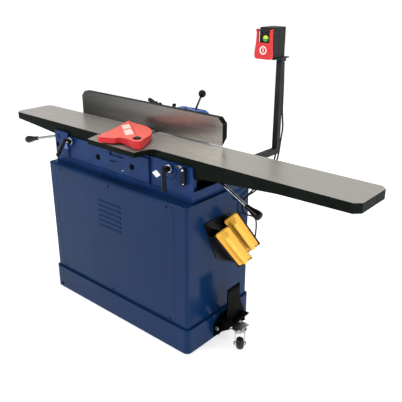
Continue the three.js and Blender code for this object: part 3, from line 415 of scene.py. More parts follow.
def dress(node, bevel, segments=2, look=None, sharp=CRISP_ANGLE, angle=ROUND_ANGLE, paint=None):
    """A CAD node with rounded edges and a finished material, in place of the plain node.

    Paint is a list of looks and a function that gives a face's place in that list.
    """
    bm = cad_copy(node)
    looks = [look or SLOT_LOOK[SLOT_OF[node]]]
    if paint:
        looks, choose = paint
        bm.normal_update()
        for face in bm.faces:
            face.material_index = choose(face)
    if bevel:
        rounded(bm, bevel, segments, angle)
    piece = finish_mesh(node + "_skin", bm, looks, BODY_OF[node], SLOT_OF[node], sharp)
    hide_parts(node)
    return piece


def drawn(build, bevel=0.0, segments=2, angle=ROUND_ANGLE):
    """A new bmesh that a build function fills, with its faces turned outwards."""
    bm = bmesh.new()
    build(bm)
    bmesh.ops.recalc_face_normals(bm, faces=bm.faces)
    if bevel:
        rounded(bm, bevel, segments, angle)
    return bm


def remade(node, build, looks=None, bevel=0.0, segments=2, angle=ROUND_ANGLE, sharp=CRISP_ANGLE):
    """A finely drawn piece that takes a CAD node's place."""
    bm = drawn(build, bevel, segments, angle)
    looks = looks or SLOT_LOOK[SLOT_OF[node]]
    piece = finish_mesh(node + "_skin", bm, looks, BODY_OF[node], SLOT_OF[node], sharp)
    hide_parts(node)


def added(name, node, build, looks, bevel=0.0, segments=2, slot=None):
    """A detail that rides with a CAD node; the slot it is given is passed on but not used."""
    finish_mesh(name, drawn(build, bevel, segments), looks, BODY_OF[node], slot or SLOT_OF[node])


def along(start, end):
    """A matrix that takes +Z to the way from start to end, with its origin at start."""
    way = Vector(end) - Vector(start)
    return Matrix.Translation(Vector(start)) @ way.to_track_quat("Z", "Y").to_matrix().to_4x4()


def revolve(bm, profile, start, end, segments, flutes=None, material=0):
    """Adds a turned form from (radius, height) pairs; a profile that ends where it starts makes a ring.

    Heights are measured from start on the way to end. Flutes are given by number and relative depth.
    """
    place = along(start, end)
    count, depth = flutes or (0, 0)
    closed = profile[0] == profile[-1]
    rings = []
    for radius, height in profile[:-1] if closed else profile:
        if radius < 1e-6:
            rings.append([bm.verts.new(place @ Vector((0, 0, height)))])
            continue
        ring = []
        for i in range(segments):
            angle = 2 * math.pi * i / segments
            reach = radius * (1 - depth * (0.5 - 0.5 * math.cos(count * angle)))
            spot = Vector((reach * math.cos(angle), reach * math.sin(angle), height))
            ring.append(bm.verts.new(place @ spot))
        rings.append(ring)
    if closed:
        rings.append(rings[0])
    for low, high in zip(rings, rings[1:]):
        for i in range(segments):
            j = (i + 1) % segments
            corners = [low[i % len(low)], low[j % len(low)], high[j % len(high)], high[i % len(high)]]
            unique = list(dict.fromkeys(corners))
            if len(unique) > 2:
                bm.faces.new(unique).material_index = material


def arc(radius, center_r, center_h, start, stop, steps=6):
    """Profile points on an arc, angles in degrees from the radial direction."""
    angles = [math.radians(start + (stop - start) * i / steps) for i in range(steps + 1)]
    return [(max(center_r + radius * math.cos(a), 0), center_h + radius * math.sin(a)) for a in angles]


def box(bm, low, high):
    """A block between two opposite corners."""
    for vert in bmesh.ops.create_cube(bm, size=1.0)["verts"]:
        vert.co = Vector([(a + b) / 2 + side * (b - a) for a, b, side in zip(low, high, vert.co)])


def slab(bm, outline, axis, low, high, material=0):
    """A prism along an axis from an outline in the two other axes, in X, Y, Z order."""
    slot = "xyz".index(axis)

    def ring(level):
        return [bm.verts.new((*spot[:slot], level, *spot[slot:])) for spot in outline]
    first, second = ring(low), ring(high)
    faces = [bm.faces.new(first), bm.faces.new(list(reversed(second)))]
    for i in range(len(outline)):
        j = (i + 1) % len(outline)
        faces.append(bm.faces.new([first[i], second[i], second[j], first[j]]))
    for face in faces:
        face.material_index = material


# The largest share of a side that one rounded corner takes
MOST_ROUNDED = 0.45


def round_corners(outline, radius, steps=6):
    """An outline with each corner replaced by a curve that starts a radius away from it."""
    made = []
    for i, corner in enumerate(outline):
        here = Vector(corner)
        before, after = Vector(outline[i - 1]), Vector(outline[(i + 1) % len(outline)])
        start = here + (before - here).normalized() * min(radius, (before - here).length * MOST_ROUNDED)
        stop = here + (after - here).normalized() * min(radius, (after - here).length * MOST_ROUNDED)
        for k in range(steps + 1):
            t = k / steps
            made.append(tuple(start * (1 - t) ** 2 + here * 2 * t * (1 - t) + stop * t * t))
    return made


def screw(bm, at, way, radius=4.2, height=2.2):
    """A pan head with a dark disc of painted shade for its recess: material 0 is the head, 1 the recess."""
    end = Vector(at) + Vector(way)
    rise = height * 0.6
    head = [(radius, 0), (radius, height - rise), *arc(rise, radius - rise, height - rise, 0, 90, 4),
            (0, height)]
    revolve(bm, head, at, end, 24)
    key, lip = radius * 0.42, height + 0.05
    revolve(bm, [(key, height - 0.3), (key, lip), (0, lip)], at, end, 6, material=1)


def hex_bolt(bm, at, way, radius=9.0, height=6.0):
    """A hexagon head on a washer."""
    end = Vector(at) + Vector(way)
    washer = radius * 1.25
    revolve(bm, [(washer, 0), (washer, 1.2), (washer - 0.5, 1.6), (0, 1.6)], at, end, 32)
    revolve(bm, [(radius, 1.6), (radius, height - 0.8), (radius * 0.88, height), (0, height)], at, end, 6)


# ---- base and cabinet
PANEL_FRONT = -205.0
PANEL_BACK = 205.0
FOOT_BOTTOM = -8
WHEEL_X, WHEEL_Z, WHEEL_ENDS = -420, 16, (180, 200)
LOUVRES, LOUVRE_Z, LOUVRE_STEP = 6, 440, 24


def base_pieces():
    dress("plinth", 1.5, 3)
    dress("cabinet_shell", 1.0)
    dress("front_panel", 0.5, 1)
    dress("rear_panel", 0.5, 1)
    dress("dust_chute", 1.0)
    for node in ("foot_front_left", "foot_front_right", "foot_back_left", "foot_back_right"):
        low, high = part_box(node)
        x, y = (low.x + high.x) / 2 / MM, (low.y + high.y) / 2 / MM
        profile = [(0, 0.6), (13, 0.6), (14, 0), (17, 0), *arc(2.2, 17.6, 2.4, -80, 40, 5), (18.2, 7),
                   (0, 7.7)]
        remade(node, lambda bm: revolve(bm, profile, (x, y, FOOT_BOTTOM), (x, y, 0), 48))
    for node, side in (("rear_wheel_front", -1), ("rear_wheel_back", 1)):
        tyre = [(6.8, 0), (11, 0), (12, 1.5), (16, 1.5), *arc(4, 18, 4, -90, 0, 5), *arc(4, 18, 16, 0, 90, 5),
                (16, 18.5), (12, 18.5), (11, 20), (6.8, 20), (6.8, 0)]
        inner, outer = ((WHEEL_X, side * y, WHEEL_Z) for y in WHEEL_ENDS)
        remade(node, lambda bm: revolve(bm, tyre, inner, outer, 56))

    def gland(bm):
        root, out = (380, 205.3, 180), (380, 235, 180)
        revolve(bm, [(0, 0), (13, 0), (13, 4.5), (12, 5.2), (0, 5.2)], root, out, 6)
        nut = [(0, 5), (10, 5), (10, 15), (8.6, 18), (5.5, 19), (5.2, 17), (0, 17)]
        revolve(bm, nut, root, out, 72, (18, 0.07))
    remade("mains_gland", gland)

    def louvres(bm):
        section = [(0.4, 12), (-1.6, 10), (-3.0, 6), (-3.6, 1), (-2.8, 0.8), (-2.0, 5.4), (-0.8, 8.6),
                   (0.4, 9.6)]
        for row in range(LOUVRES):
            z = LOUVRE_Z + LOUVRE_STEP * row
            slab(bm, [(PANEL_FRONT + out, z + up) for out, up in section], "x", -88, 58)
    added("louvre_hoods", "front_panel", louvres, "cabinet", 0.3, 1)

    def front_screws(bm):
        for x, z in ((-361, 648), (-14, 648), (338, 648), (-376, 136), (-21, 136), (348, 136)):
            screw(bm, (x, PANEL_FRONT, z), (0, -1, 0))
    added("front_panel_screws", "front_panel", front_screws, ["black_steel", "hole"])

    def rear_screws(bm):
        for x in (-305, 0, 305):
            for z in (152, 628):
                screw(bm, (x, PANEL_BACK, z), (0, 1, 0))
    added("rear_panel_screws", "rear_panel", rear_screws, ["black_steel", "hole"])


# ---- main casting and drive
# The casting's pad, its front wall, the shallow recess beside the infeed lock and the depth scale, in Y
CAST_FACE = -160.0
CAST_FRONT = -155.0
CAST_RECESS = -150.0
SCALE_FACE = -157.3
BOSS = {"x": 309, "z": 783, "radius": 37, "half": 3.4, "start": 12, "sweep": -204}
HEAD_Z = 812.0
MOTOR_AT = (40.0, 240.0)
KNIFE_ROWS, KNIVES_PER_ROW, KNIFE_WIDE = 3, 13, 13


def casting_details():
    def bolts(bm):
        for x, z in ((-127, 747), (95, 748)):
            hex_bolt(bm, (x, CAST_FACE, z), (0, -1, 0), 10.5, 6)
        hex_bolt(bm, (-434, CAST_FRONT, 747), (0, -1, 0), 9, 4)
    added("casting_bolts", "main_casting", bolts, "black_steel", slot="black_steel")

    def boss_rim(bm):
        # a rounded bead below and beside the infeed lock
        middle = Vector((BOSS["x"], CAST_FRONT, BOSS["z"]))
        half, steps, sides = BOSS["half"], 40, 12
        spots = [2 * math.pi * k / sides for k in range(sides)]
        rings = []
        for i in range(steps + 1):
            turn = math.radians(BOSS["start"] + BOSS["sweep"] * i / steps)
            out = Vector((math.cos(turn), 0, math.sin(turn)))
            rings.append([bm.verts.new(middle + out * (BOSS["radius"] + half * math.cos(spot))
                                       + Vector((0, half * math.sin(spot), 0))) for spot in spots])
        faces = [bm.faces.new(rings[0]), bm.faces.new(rings[-1])]
        for ring, after in zip(rings, rings[1:]):
            faces += [bm.faces.new([ring[k - 1], ring[k], after[k], after[k - 1]]) for k in range(sides)]
        bmesh.ops.recalc_face_normals(bm, faces=faces)
    added("casting_boss_rim", "main_casting", boss_rim, "casting")

    def marks(bm):
        # thin dark sheets on the face stand for a slot and small holes: painted shade
        slot = round_corners([(-52, 746), (0, 749), (0, 753.5), (-52, 750.5)], 3)
        slab(bm, slot, "y", CAST_FACE - 0.3, CAST_FACE + 1)
        for x, z, radius in ((91, 786, 2.6), (89, 764, 2.2), (18, 784, 2.2), (18, 777, 1.8)):
            revolve(bm, [(0, 0), (radius, 0), (radius, 0.5), (0, 0.5)], (x, CAST_FACE + 0.2, z),
                    (x, CAST_FACE - 1, z), 20)
    added("casting_holes", "main_casting", marks, "hole")

    def rivet(bm):
        dome = [(3.6, 0), *arc(3.6, 0, 0.2, 0, 90, 5)]
        revolve(bm, dome, (37, CAST_FACE, 720), (37, CAST_FACE - 1, 720), 24)
    added("casting_rivets", "main_casting", rivet, "chrome", slot="chrome")

    def sticker(bm):
        diamond = [(206, 748), (231, 764.5), (256, 748), (231, 731.5)]
        slab(bm, round_corners(diamond, 2, 3), "y", CAST_RECESS - 0.25, CAST_RECESS + 0.5)
    added("blank_sticker", "main_casting", sticker, "sticker")

    def faded_sticker(bm):
        triangle = [(-385, 735), (-353, 739), (-364, 766)]
        slab(bm, round_corners(triangle, 2, 3), "y", CAST_FRONT - 0.25, CAST_FRONT + 0.5)
    added("faded_sticker", "main_casting", faded_sticker, "faded_sticker")

    def scale_plate(bm):
        plate = [(336, 802.5), (378.5, 804), (377, 813), (340, 813)]
        slab(bm, plate, "y", SCALE_FACE, SCALE_FACE + 0.7)
        first, pitch, width, foot = 342, 2.4, 0.7, 804.6
        for i in range(15):
            x = first + pitch * i
            top = 809 if i % 5 else 811
            mark = [(x, foot), (x + width, foot), (x + width, top), (x, top)]
            slab(bm, mark, "y", SCALE_FACE - 0.15, SCALE_FACE + 0.1, 1)
    added("depth_graduations", "main_casting", scale_plate, ["zinc", "hole"], slot="zinc")


def drive_pieces():
    dress("main_casting", 2.0, 3)
    casting_details()
    dress("bearing_front", 1.5)
    dress("bearing_rear", 1.5)

    def cutterhead(bm):
        barrel = [(0, 0), (8, 0), (9, 1), (9, 18), (35.5, 18), (37, 19.5), (37, 220.5), (35.5, 222),
                  (9, 222), (9, 280), (0, 280)]
        revolve(bm, barrel, (0, -158, HEAD_Z), (0, 122, HEAD_Z), 72)
        first, pitch, twist, seat, rise = -130, 15, 0.09, 35.6, 2.2
        for row in range(KNIFE_ROWS):
            for i in range(KNIVES_PER_ROW):
                y = first + pitch * i
                turn = 2 * math.pi * row / KNIFE_ROWS + twist * i
                out = Vector((math.sin(turn), 0, math.cos(turn)))
                side = Vector((math.cos(turn), 0, -math.sin(turn)))
                for vert in bmesh.ops.create_cube(bm, size=1.0)["verts"]:
                    u, v, w = vert.co
                    vert.co = (Vector((0, y + KNIFE_WIDE * v, HEAD_Z)) + out * (seat + rise * w)
                               + side * (KNIFE_WIDE * u))
    remade("cutterhead", cutterhead)
    pulleys = (("head_pulley", 0, HEAD_Z, 26, 9.3), ("motor_pulley", *MOTOR_AT, 40, 10.3))
    for node, x, z, radius, bore in pulleys:
        rim = [(bore, 0), (radius + 2, 0), (radius + 3, 1), (radius + 3, 3)]
        for k in range(5):
            rim += [(radius, 4 + 2.4 * k), (radius - 1.6, 5.2 + 2.4 * k), (radius, 6.4 + 2.4 * k)]
        rim += [(radius + 3, 17), (radius + 3, 19), (radius + 2, 20), (bore, 20), (bore, 0)]
        remade(node, lambda bm: revolve(bm, rim, (x, 96, z), (x, 116, z), 64))
    dress("drive_belt", 0.8, 2, "rubber", 30, 40)

    def motor(bm):
        x, z = MOTOR_AT
        root, out = (x, -84, z), (x, 120, z)
        revolve(bm, [(0, 0), (58, 0), (66, 3), (76, 8), (79, 14), (79, 18), (0, 18)], root, out, 72)
        revolve(bm, [(0, 17), (80, 17), (80, 130), (0, 130)], root, out, 240, (40, 0.07))
        end_bell = [(0, 129), (79, 129), (79, 134), (74, 146), (26, 150), (26, 156), (10, 156), (10, 203),
                    (9, 204), (0, 204)]
        revolve(bm, end_bell, root, out, 72)
        box(bm, (x - 120, -50, z - 30), (x - 76, 30, z + 30))
        box(bm, (x - 60, -70, z - 88), (x - 40, 50, z - 60))
        box(bm, (x + 40, -70, z - 88), (x + 60, 50, z - 60))
        box(bm, (x - 60, -70, z - 88), (x + 60, 50, z - 80))
    remade("motor", motor)
    dress("motor_stand", 1.2)
    dress("belt_cover", 1.5)


# ---- tables and levers
INFEED_TOP, OUTFEED_TOP = 847, 850
LIFTS = {
    "infeed": {"start": (406, 0, 741), "neck": (576, 0, 656), "tip": (652, 0, 624)},
    "outfeed": {"start": (-406.6, -66, 786.9), "neck": (-734, -66, 703), "tip": (-846, -66, 674)},
}


def table(node, top):
    """A bed with its top ground bright and its sides painted."""
    def choose(face):
        middle = face.calc_center_median()
        return 0 if face.normal.z > 0.9 and middle.z > top - 1 else 1
    dress(node, 1.0, 2, paint=(["ground", "dark_iron"], choose))


def lift_lever(side):
    """A plated rod in a hub with a pear shaped grip on its end."""
    start, neck, tip = (Vector(LIFTS[side][key]) for key in ("start", "neck", "tip"))
    length = (neck - start).length
    first = start.lerp(neck, 0.012)
    rod = [(0, 0), (11, 0), (12, 1), (12, length * 0.088), (10, length * 0.1), (7, length * 0.102),
           (7, length * 0.985), (0, length * 0.988)]
    remade(side + "_lever", lambda bm: revolve(bm, rod, first, neck, 40),
           "worn_chrome" if side == "outfeed" else None)
    reach = (tip - neck).length
    grip = [(0, 1.2), (8, 1.2), (9.5, 2.5), (10.6, 8), (11, 20), (12.4, reach * 0.36), (15.2, reach * 0.52),
            (18.2, reach * 0.68), (19.5, reach * 0.8), (18.8, reach * 0.89), (15.5, reach * 0.955),
            (9, reach * 0.99), (0, reach)]
    remade(side + "_grip", lambda bm: revolve(bm, grip, neck, tip, 48), "ball", sharp=60)


def ratchet_lever(node, x, z, hub_front, hub_back, elbow, tip, rim):
    """A hub on a bolt along Y, a neck to the elbow and a tapered handle to the tip."""
    elbow, tip = Vector(elbow), Vector(tip)
    thick = abs(hub_front - hub_back)
    length = (tip - elbow).length

    def build(bm):
        hub = [(0, 0), (12.6, 0), (13, 0.8), (13, thick - 4), *arc(4, 9, thick - 4, 0, 90, 5), (0, thick)]
        revolve(bm, hub, (x, hub_back, z), (x, hub_front, z), 48)
        revolve(bm, [(0, 0), (8.5, 0), (7, 5), (6.6, 20), (0, 20)], (x, hub_front + 8, z), elbow, 32)
        revolve(bm, [(0, -8.5), *arc(8.5, 0, 0, -80, 90, 12)], elbow, elbow + Vector((0, 0, 1)), 32)
        arm = [(0, 0), (6.6, 0), (7.2, length * 0.15), (8.6, length * 0.5), (9.6, length * 0.8),
               *arc(9.4, 0.2, length - 9.4, 0, 90, 8)]
        revolve(bm, arm, elbow, tip, 40)
    remade(node, build, sharp=50)
    if rim:
        ring = [(13.4, 0), (15, 0), *arc(1.4, 15, 1.4, -60, 90, 5), (13.4, 2.8), (13.4, 0)]
        back, front = (x, hub_back - 0.2, z), (x, hub_front + 0.3, z)
        added(node + "_washer", node, lambda bm: revolve(bm, ring, back, (x, hub_back - 9, z), 56), "chrome",
              slot="chrome")
        cap = [(0, 0), (4.6, 0), *arc(4.6, 0, 0.6, 0, 90, 6)]
        added(node + "_cap", node, lambda bm: revolve(bm, cap, front, (x, hub_front - 5, z), 32), "chrome",
              slot="chrome")


def bed_pieces():
    table("infeed_table", INFEED_TOP)
    table("outfeed_table", OUTFEED_TOP)
    for node in ("infeed_link_inner", "infeed_link_outer", "outfeed_link_inner", "outfeed_link_outer"):
        dress(node, 0.8, look="dark_iron")
    lift_lever("infeed")
    lift_lever("outfeed")
    ratchet_lever("outfeed_lock_lever", -327, 782, -176, -158.3, (-334, -184, 790), (-397, -188, 702), True)
    ratchet_lever("infeed_lock_lever", 309, 790, -182, -158.3, (319, -196, 800), (330, -205, 708), True)
    dress("depth_stop_lever", 2.0, 3)

    def pins(bm):
        face, out = -170.2, -180
        revolve(bm, [(0, 0), (5, 0), *arc(5, 0, 0.4, 0, 90, 6)], (395, face, 804), (395, out, 804), 32)
        revolve(bm, [(0, 0), (3.2, 0), *arc(3.2, 0, 0.4, 0, 90, 5)], (398, face, 748), (398, out, 748), 24)
    added("depth_stop_rivets", "depth_stop_lever", pins, "chrome", slot="chrome")


# ---- fence and its carriage
def fence_pieces():
    def choose(face):
        return 0 if face.normal.y < -0.9 and face.calc_center_median().y < 61 else 1
    dress("fence", 1.2, 2, paint=(["fence_face", "dark_iron"], choose))
    dress("fence_bracket", 2.0, 3)
    dress("fence_base", 2.0, 3)
    # the carriage takes the lighter blue look, a painted reflection
    dress("fence_carriage", 3.0, 3, "carriage")
    ratchet_lever("tilt_lock_handle", -62, 936, 160, 175.7, (-66, 156, 944), (-122, 156, 960), False)

    elbow_cap = [(0, 0), (3.6, 0), (3.6, 6), *arc(2, 1.6, 7, 0, 90, 4), (0, 9)]
    added("tilt_lock_cap", "tilt_lock_handle",
          lambda bm: revolve(bm, elbow_cap, (-66, 156, 951), (-66, 156, 990), 28), "chrome", slot="chrome")

    def stop_knob(bm):
        root, out = (16, 186, 934.3), (16, 186, 1000)
        revolve(bm, [(0, 0), (4, 0), (4, 6), (0, 6)], root, out, 32)
        grip = [(0, 5.5), (8, 6.5), (9, 8), (9, 15), (8, 17.4), (6.8, 18), (0, 18)]
        revolve(bm, grip, root, out, 96, (20, 0.09))
    remade("stop_knob", stop_knob)

    low, high = Vector((118, 209, 920)), Vector((158, 209, 998))

    def slide_rod(bm):
        hub = [(0, 0), (8.4, 0), (9, 0.7), (9, 11.3), (8.4, 12), (0, 12)]
        revolve(bm, hub, (118, 203, 920), (118, 215, 920), 40)
        length = (high - low).length
        revolve(bm, [(0, 0), (5, 0), (5, length - 1), (4.4, length), (0, length)], low, high, 32)
    remade("slide_lock_rod", slide_rod, "steel")
    way = (high - low).normalized()
    foot = high + way * 0.3
    knob = [(0, 0), (6, 0), (6.4, 1.6), *arc(17.2, 0, 17.8, -66, 90, 16)]
    remade("slide_lock_ball", lambda bm: revolve(bm, knob, foot, foot + way, 56), "ball", sharp=50)


# ---- cutter guard
GUARD_PIVOT = (155.0, -179.0)
GUARD_LOW, GUARD_HIGH = 856.0, 888.0
GUARD_OUTLINE = [(-20, -241), (-31, -218), (-97, 0), (-88, 6), (-64, -6), (-8, 10), (26, 3), (58, -10),
                 (92, -34), (116, -58), (134, -82), (195, -194), (193, -206), (170, -214), (96, -194),
                 (70, -192), (62, -198), (58, -212), (-2, -243)]
# The two ends of the fold, and the cuts beside it that let the top bend
FOLD = ((-90, 2), (150, -172))
FOLD_CUTS = (0, -3, 24, -26, 60, -60, 100, -100)
# The label's two panels along the fold, and its near edge and width across it
LABEL_PANELS = ((58, 130), (148, 232))
LABEL_OFF, LABEL_WIDE, LABEL_LIFT = 7, 34, 0.3
LABEL_ROWS, LABEL_COLUMNS = 16, 8


def fold_drop(x, y):
    """How far the guard's top falls away from the fold: a little behind it, more in front."""
    (ax, ay), (bx, by) = FOLD
    length = math.hypot(bx - ax, by - ay)
    off = ((bx - ax) * (y - ay) - (by - ay) * (x - ax)) / length
    near = math.hypot(x - GUARD_PIVOT[0], y - GUARD_PIVOT[1])
    fade = min(1.0, max(0.0, (near - 26) / 40))
    return fade * (min(8.0, 0.14 * off) if off > 0 else min(10.0, -0.13 * off))


def fold_rib(bm):
    """A low rounded rib that runs along the fold."""
    start, end = (Vector((*spot, GUARD_HIGH)) for spot in FOLD)
    way = (end - start).normalized()
    across = Vector((-way.y, way.x, 0))
    section = [(-2, -3), (-1.4, 0.7), (0, 1.2), (1.4, 0.7), (2, -3)]
    ends = []
    for foot in (start + way * 6, end - way * 34):
        ends.append([bm.verts.new(foot + across * u + Vector((0, 0, w))) for u, w in section])
    sides = [[ends[0][k - 1], ends[0][k], ends[1][k], ends[1][k - 1]] for k in range(len(section))]
    faces = [bm.faces.new(corners) for corners in sides + ends]
    bmesh.ops.recalc_face_normals(bm, faces=faces)


def lay_label(bm, surface):
    """Two blank panels of a label that lie on the surface along the front of the fold."""
    start, end = (Vector(spot) for spot in FOLD)
    way = (end - start).normalized()
    across = Vector((way.y, -way.x))
    above, down = GUARD_HIGH + 12, Vector((0, 0, -1))
    for near, far in LABEL_PANELS:
        rows = []
        for i in range(LABEL_ROWS + 1):
            t = near + (far - near) * i / LABEL_ROWS
            row = []
            for k in range(LABEL_COLUMNS + 1):
                spot = start + way * t + across * (LABEL_OFF + LABEL_WIDE * k / LABEL_COLUMNS)
                hit = surface.ray_cast(Vector((spot.x, spot.y, above)), down)[0]
                row.append(bm.verts.new(hit + Vector((0, 0, LABEL_LIFT))))
            rows.append(row)
        for low, high in zip(rows, rows[1:]):
            for k in range(LABEL_COLUMNS):
                bm.faces.new([low[k], low[k + 1], high[k + 1], high[k]])


def guard_pieces():
    def guard(bm):
        outline = round_corners(GUARD_OUTLINE, 3, 3)
        slab(bm, outline, "z", GUARD_LOW, GUARD_HIGH)
        (ax, ay), (bx, by) = FOLD
        cut_normal = Vector((-(by - ay), bx - ax, 0)).normalized()
        for shift in FOLD_CUTS:
            origin = Vector((ax, ay, 0)) + cut_normal * shift
            bmesh.ops.bisect_plane(bm, geom=bm.verts[:] + bm.edges[:] + bm.faces[:], dist=0.01,
                                   plane_co=origin, plane_no=cut_normal)
        for vert in bm.verts:
            if vert.co.z > GUARD_HIGH - 1:
                vert.co.z -= fold_drop(vert.co.x, vert.co.y)
        top = [e for e in bm.edges if len(e.link_faces) == 2 and min(v.co.z for v in e.verts) > GUARD_LOW + 10
               and e.calc_face_angle(0) > 0.9]
        bmesh.ops.bevel(bm, geom=top, offset=2.2, segments=3, profile=0.55, affect="EDGES",
                        clamp_overlap=True)
        x, y = GUARD_PIVOT
        revolve(bm, [(0, 0), (14, 0), (15, 1), (15, 9), (0, 9)], (x, y, 847.5), (x, y, 860), 48)
        revolve(bm, [(0, 0), (5, 0), (6, 1), (6, 24), (0, 24)], (x, y, 835), (x, y, 860), 32)
    bm = drawn(guard)
    bm.normal_update()
    for face in bm.faces:
        # top faces take the lighter red, a painted highlight where light falls on the top; the sides keep the
        # guard's red
        face.material_index = 1 if face.normal.z > 0.75 and face.calc_center_median().z > 870 else 0
    # the rib keeps the darker red, a thin line of painted shade along the crease
    fold_rib(bm)
    surface = BVHTree.FromBMesh(bm)
    piece = finish_mesh("cutter_guard_skin", bm, ["red", "red_painted_lit_top"], BODY_OF["cutter_guard"],
                        SLOT_OF["cutter_guard"], 26)
    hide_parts("cutter_guard")

    sheet = bmesh.new()
    lay_label(sheet, surface)
    sheet.normal_update()
    for face in sheet.faces:
        if face.normal.z < 0:
            face.normal_flip()
    finish_mesh("guard_label", sheet, "label", BODY_OF["cutter_guard"], SLOT_OF["cutter_guard"], 60)

    x, y = GUARD_PIVOT
    knob = [(0, 0), (16.6, 0), (17, 0.6), (17, 2.4), (15.4, 3.6), *arc(2.2, 12.6, 2.8, 30, 90, 4),
            (6, 4.6), (5.4, 4), (0, 4)]
    remade("guard_knob", lambda bm: revolve(bm, knob, (x, y, GUARD_HIGH + 0.3), (x, y, 900), 56))


# ---- switch stand
HINGE_Y, HINGE_Z = 244, 1297
BUTTON_X, BUTTON_Z = 467, 1267
GLANDS = (((462.3, 110, 622), (1, 0, 0)), ((415, 218.3, 330), (0, 1, 0)))


def switch_pieces():
    dress("switch_arm", 1.5, 3, "post_steel")
    dress("switch_post", 1.5, 3, "post_steel")
    dress("switch_box", 2.2, 3, "box_black")

    def box_seam(bm):
        box(bm, (433.9, 292, 1192), (501.1, 293, 1309))
        for y in (264, 322):
            for z in (1200, 1300):
                screw(bm, (501, y, z), (1, 0, 0), 2.8, 1.4)
    added("switch_box_details", "switch_box", box_seam, ["hole", "hole"])

    def paddle(bm):
        body = [(426, 1256), (419.5, 1214), (420, 1187), (504, 1187), (504.5, 1214), (499, 1256), (490, 1251),
                (435, 1251)]
        slab(bm, round_corners(body, 14, 5), "y", HINGE_Y - 7, HINGE_Y + 2)
        for outer, inner in ((425, 434.5), (502, 489.5)):
            lean = 2 if outer < inner else -2
            leg = [(outer, 1236), (inner, 1236), (inner, 1290), (inner - lean, 1303), (outer + lean, 1303)]
            slab(bm, round_corners(leg, 3, 3), "y", HINGE_Y - 6.4, HINGE_Y + 2)
        eye = [(3.4, 0), (6, 0), (6.6, 0.7), (6.6, 8.3), (6, 9), (3.4, 9), (3.4, 0)]
        for x0, x1 in ((424, 433), (494, 503)):
            revolve(bm, eye, (x0, HINGE_Y, HINGE_Z), (x1, HINGE_Y, HINGE_Z), 36)
    remade("stop_paddle", paddle, "paddle_red", 1.4, 3, 40)

    def symbol(bm):
        x, z, y = 462, 1222, HINGE_Y - 7
        ring = [(12.2, 0), (16.4, 0), (16.4, 0.5), (12.2, 0.5), (12.2, 0)]
        revolve(bm, ring, (x, y + 0.1, z), (x, y - 1, z), 56)
        box(bm, (x - 1.9, y - 0.4, z - 8), (x + 1.9, y + 0.1, z + 8))
    added("paddle_symbol", "stop_paddle", symbol, "white")

    def button(bm):
        cap = [(0, 0.6), (10, 0.6), (13.4, 3.5), (13.4, 12), *arc(4, 9.4, 13, 0, 90, 6), (0, 17)]
        revolve(bm, cap, (BUTTON_X, 259, BUTTON_Z), (BUTTON_X, 242, BUTTON_Z), 56)
        # the upper half of the cap takes the lighter green, a painted highlight from the light above; the
        # lower half keeps the button's green
        for face in bm.faces:
            face.material_index = 1 if face.calc_center_median().z > BUTTON_Z + 1 else 0
    remade("start_button", button, ["green", "green_painted_highlight"])

    def bezel(bm):
        ring = [(13.9, 0), (17, 0), (17, 2.2), (15.8, 3.2), (13.9, 3.2), (13.9, 0)]
        revolve(bm, ring, (BUTTON_X, 250.3, BUTTON_Z), (BUTTON_X, 240, BUTTON_Z), 48)
    added("button_bezel", "switch_box", bezel, "black")

    for node in ("switch_cable", "motor_cable"):
        piece = dress(node, 0, look="cable", sharp=80)
        piece.modifiers.remove(piece.modifiers["normals"])
        smooth = piece.modifiers.new("smooth", "SUBSURF")
        smooth.levels = smooth.render_levels = 2

    def glands(bm):
        nut = [(9.2, 6), (10.8, 6), (10.8, 13.4), (9.2, 13.9), (9.2, 6)]
        for tip, way in GLANDS:
            root = Vector(tip) - Vector(way) * 14
            revolve(bm, nut, root, root + Vector(way), 54, (18, 0.06))
    added("cable_gland_nuts", "cabinet_shell", glands, "black", slot="black_plastic")


# ---- push blocks and their holder
HOLDER = Matrix.Translation((448.3, -90, 530)) @ Matrix.Rotation(math.radians(39.35), 4, "X")
POCKETS = {"push_block_1": (60, 32, 0), "push_block_2": (40, 111, -27)}
BLOCK = {"long": 262.0, "half": 32.0, "sole": 1.6, "flange": 9.0, "rise": 40.0, "corner": 9.0, "lip": 3.6}
BLOCK_TURN = -30


def eased(t):
    """From 0 to 1 with a level start and end."""
    return t * t * (3 - 2 * t)


def block_height(y, z):
    """The shell's height over the sole: a ridge down the middle between two troughs with raised edges."""
    start, stop = -z, BLOCK["long"] + z
    ends = eased(min(1.0, max(0.0, (start - 3) / 14)) * min(1.0, max(0.0, (stop - 12) / 18)))
    side = abs(y)
    ridge = eased(1.0 if side < 6 else max(0.0, 1 - (side - 6) / 16))
    trough = BLOCK["flange"] - BLOCK["lip"]
    edge = BLOCK["lip"] if side > 29 or start < 3 or stop < 3 else 0.0
    return trough + edge + ends * (BLOCK["rise"] - trough) * ridge


def block_half(z):
    """Half the block's width, which narrows round its corners."""
    corner = BLOCK["corner"]
    near = max(0.0, corner - min(-z, BLOCK["long"] + z))
    return BLOCK["half"] - corner + math.sqrt(max(corner * corner - near * near, 0.0))


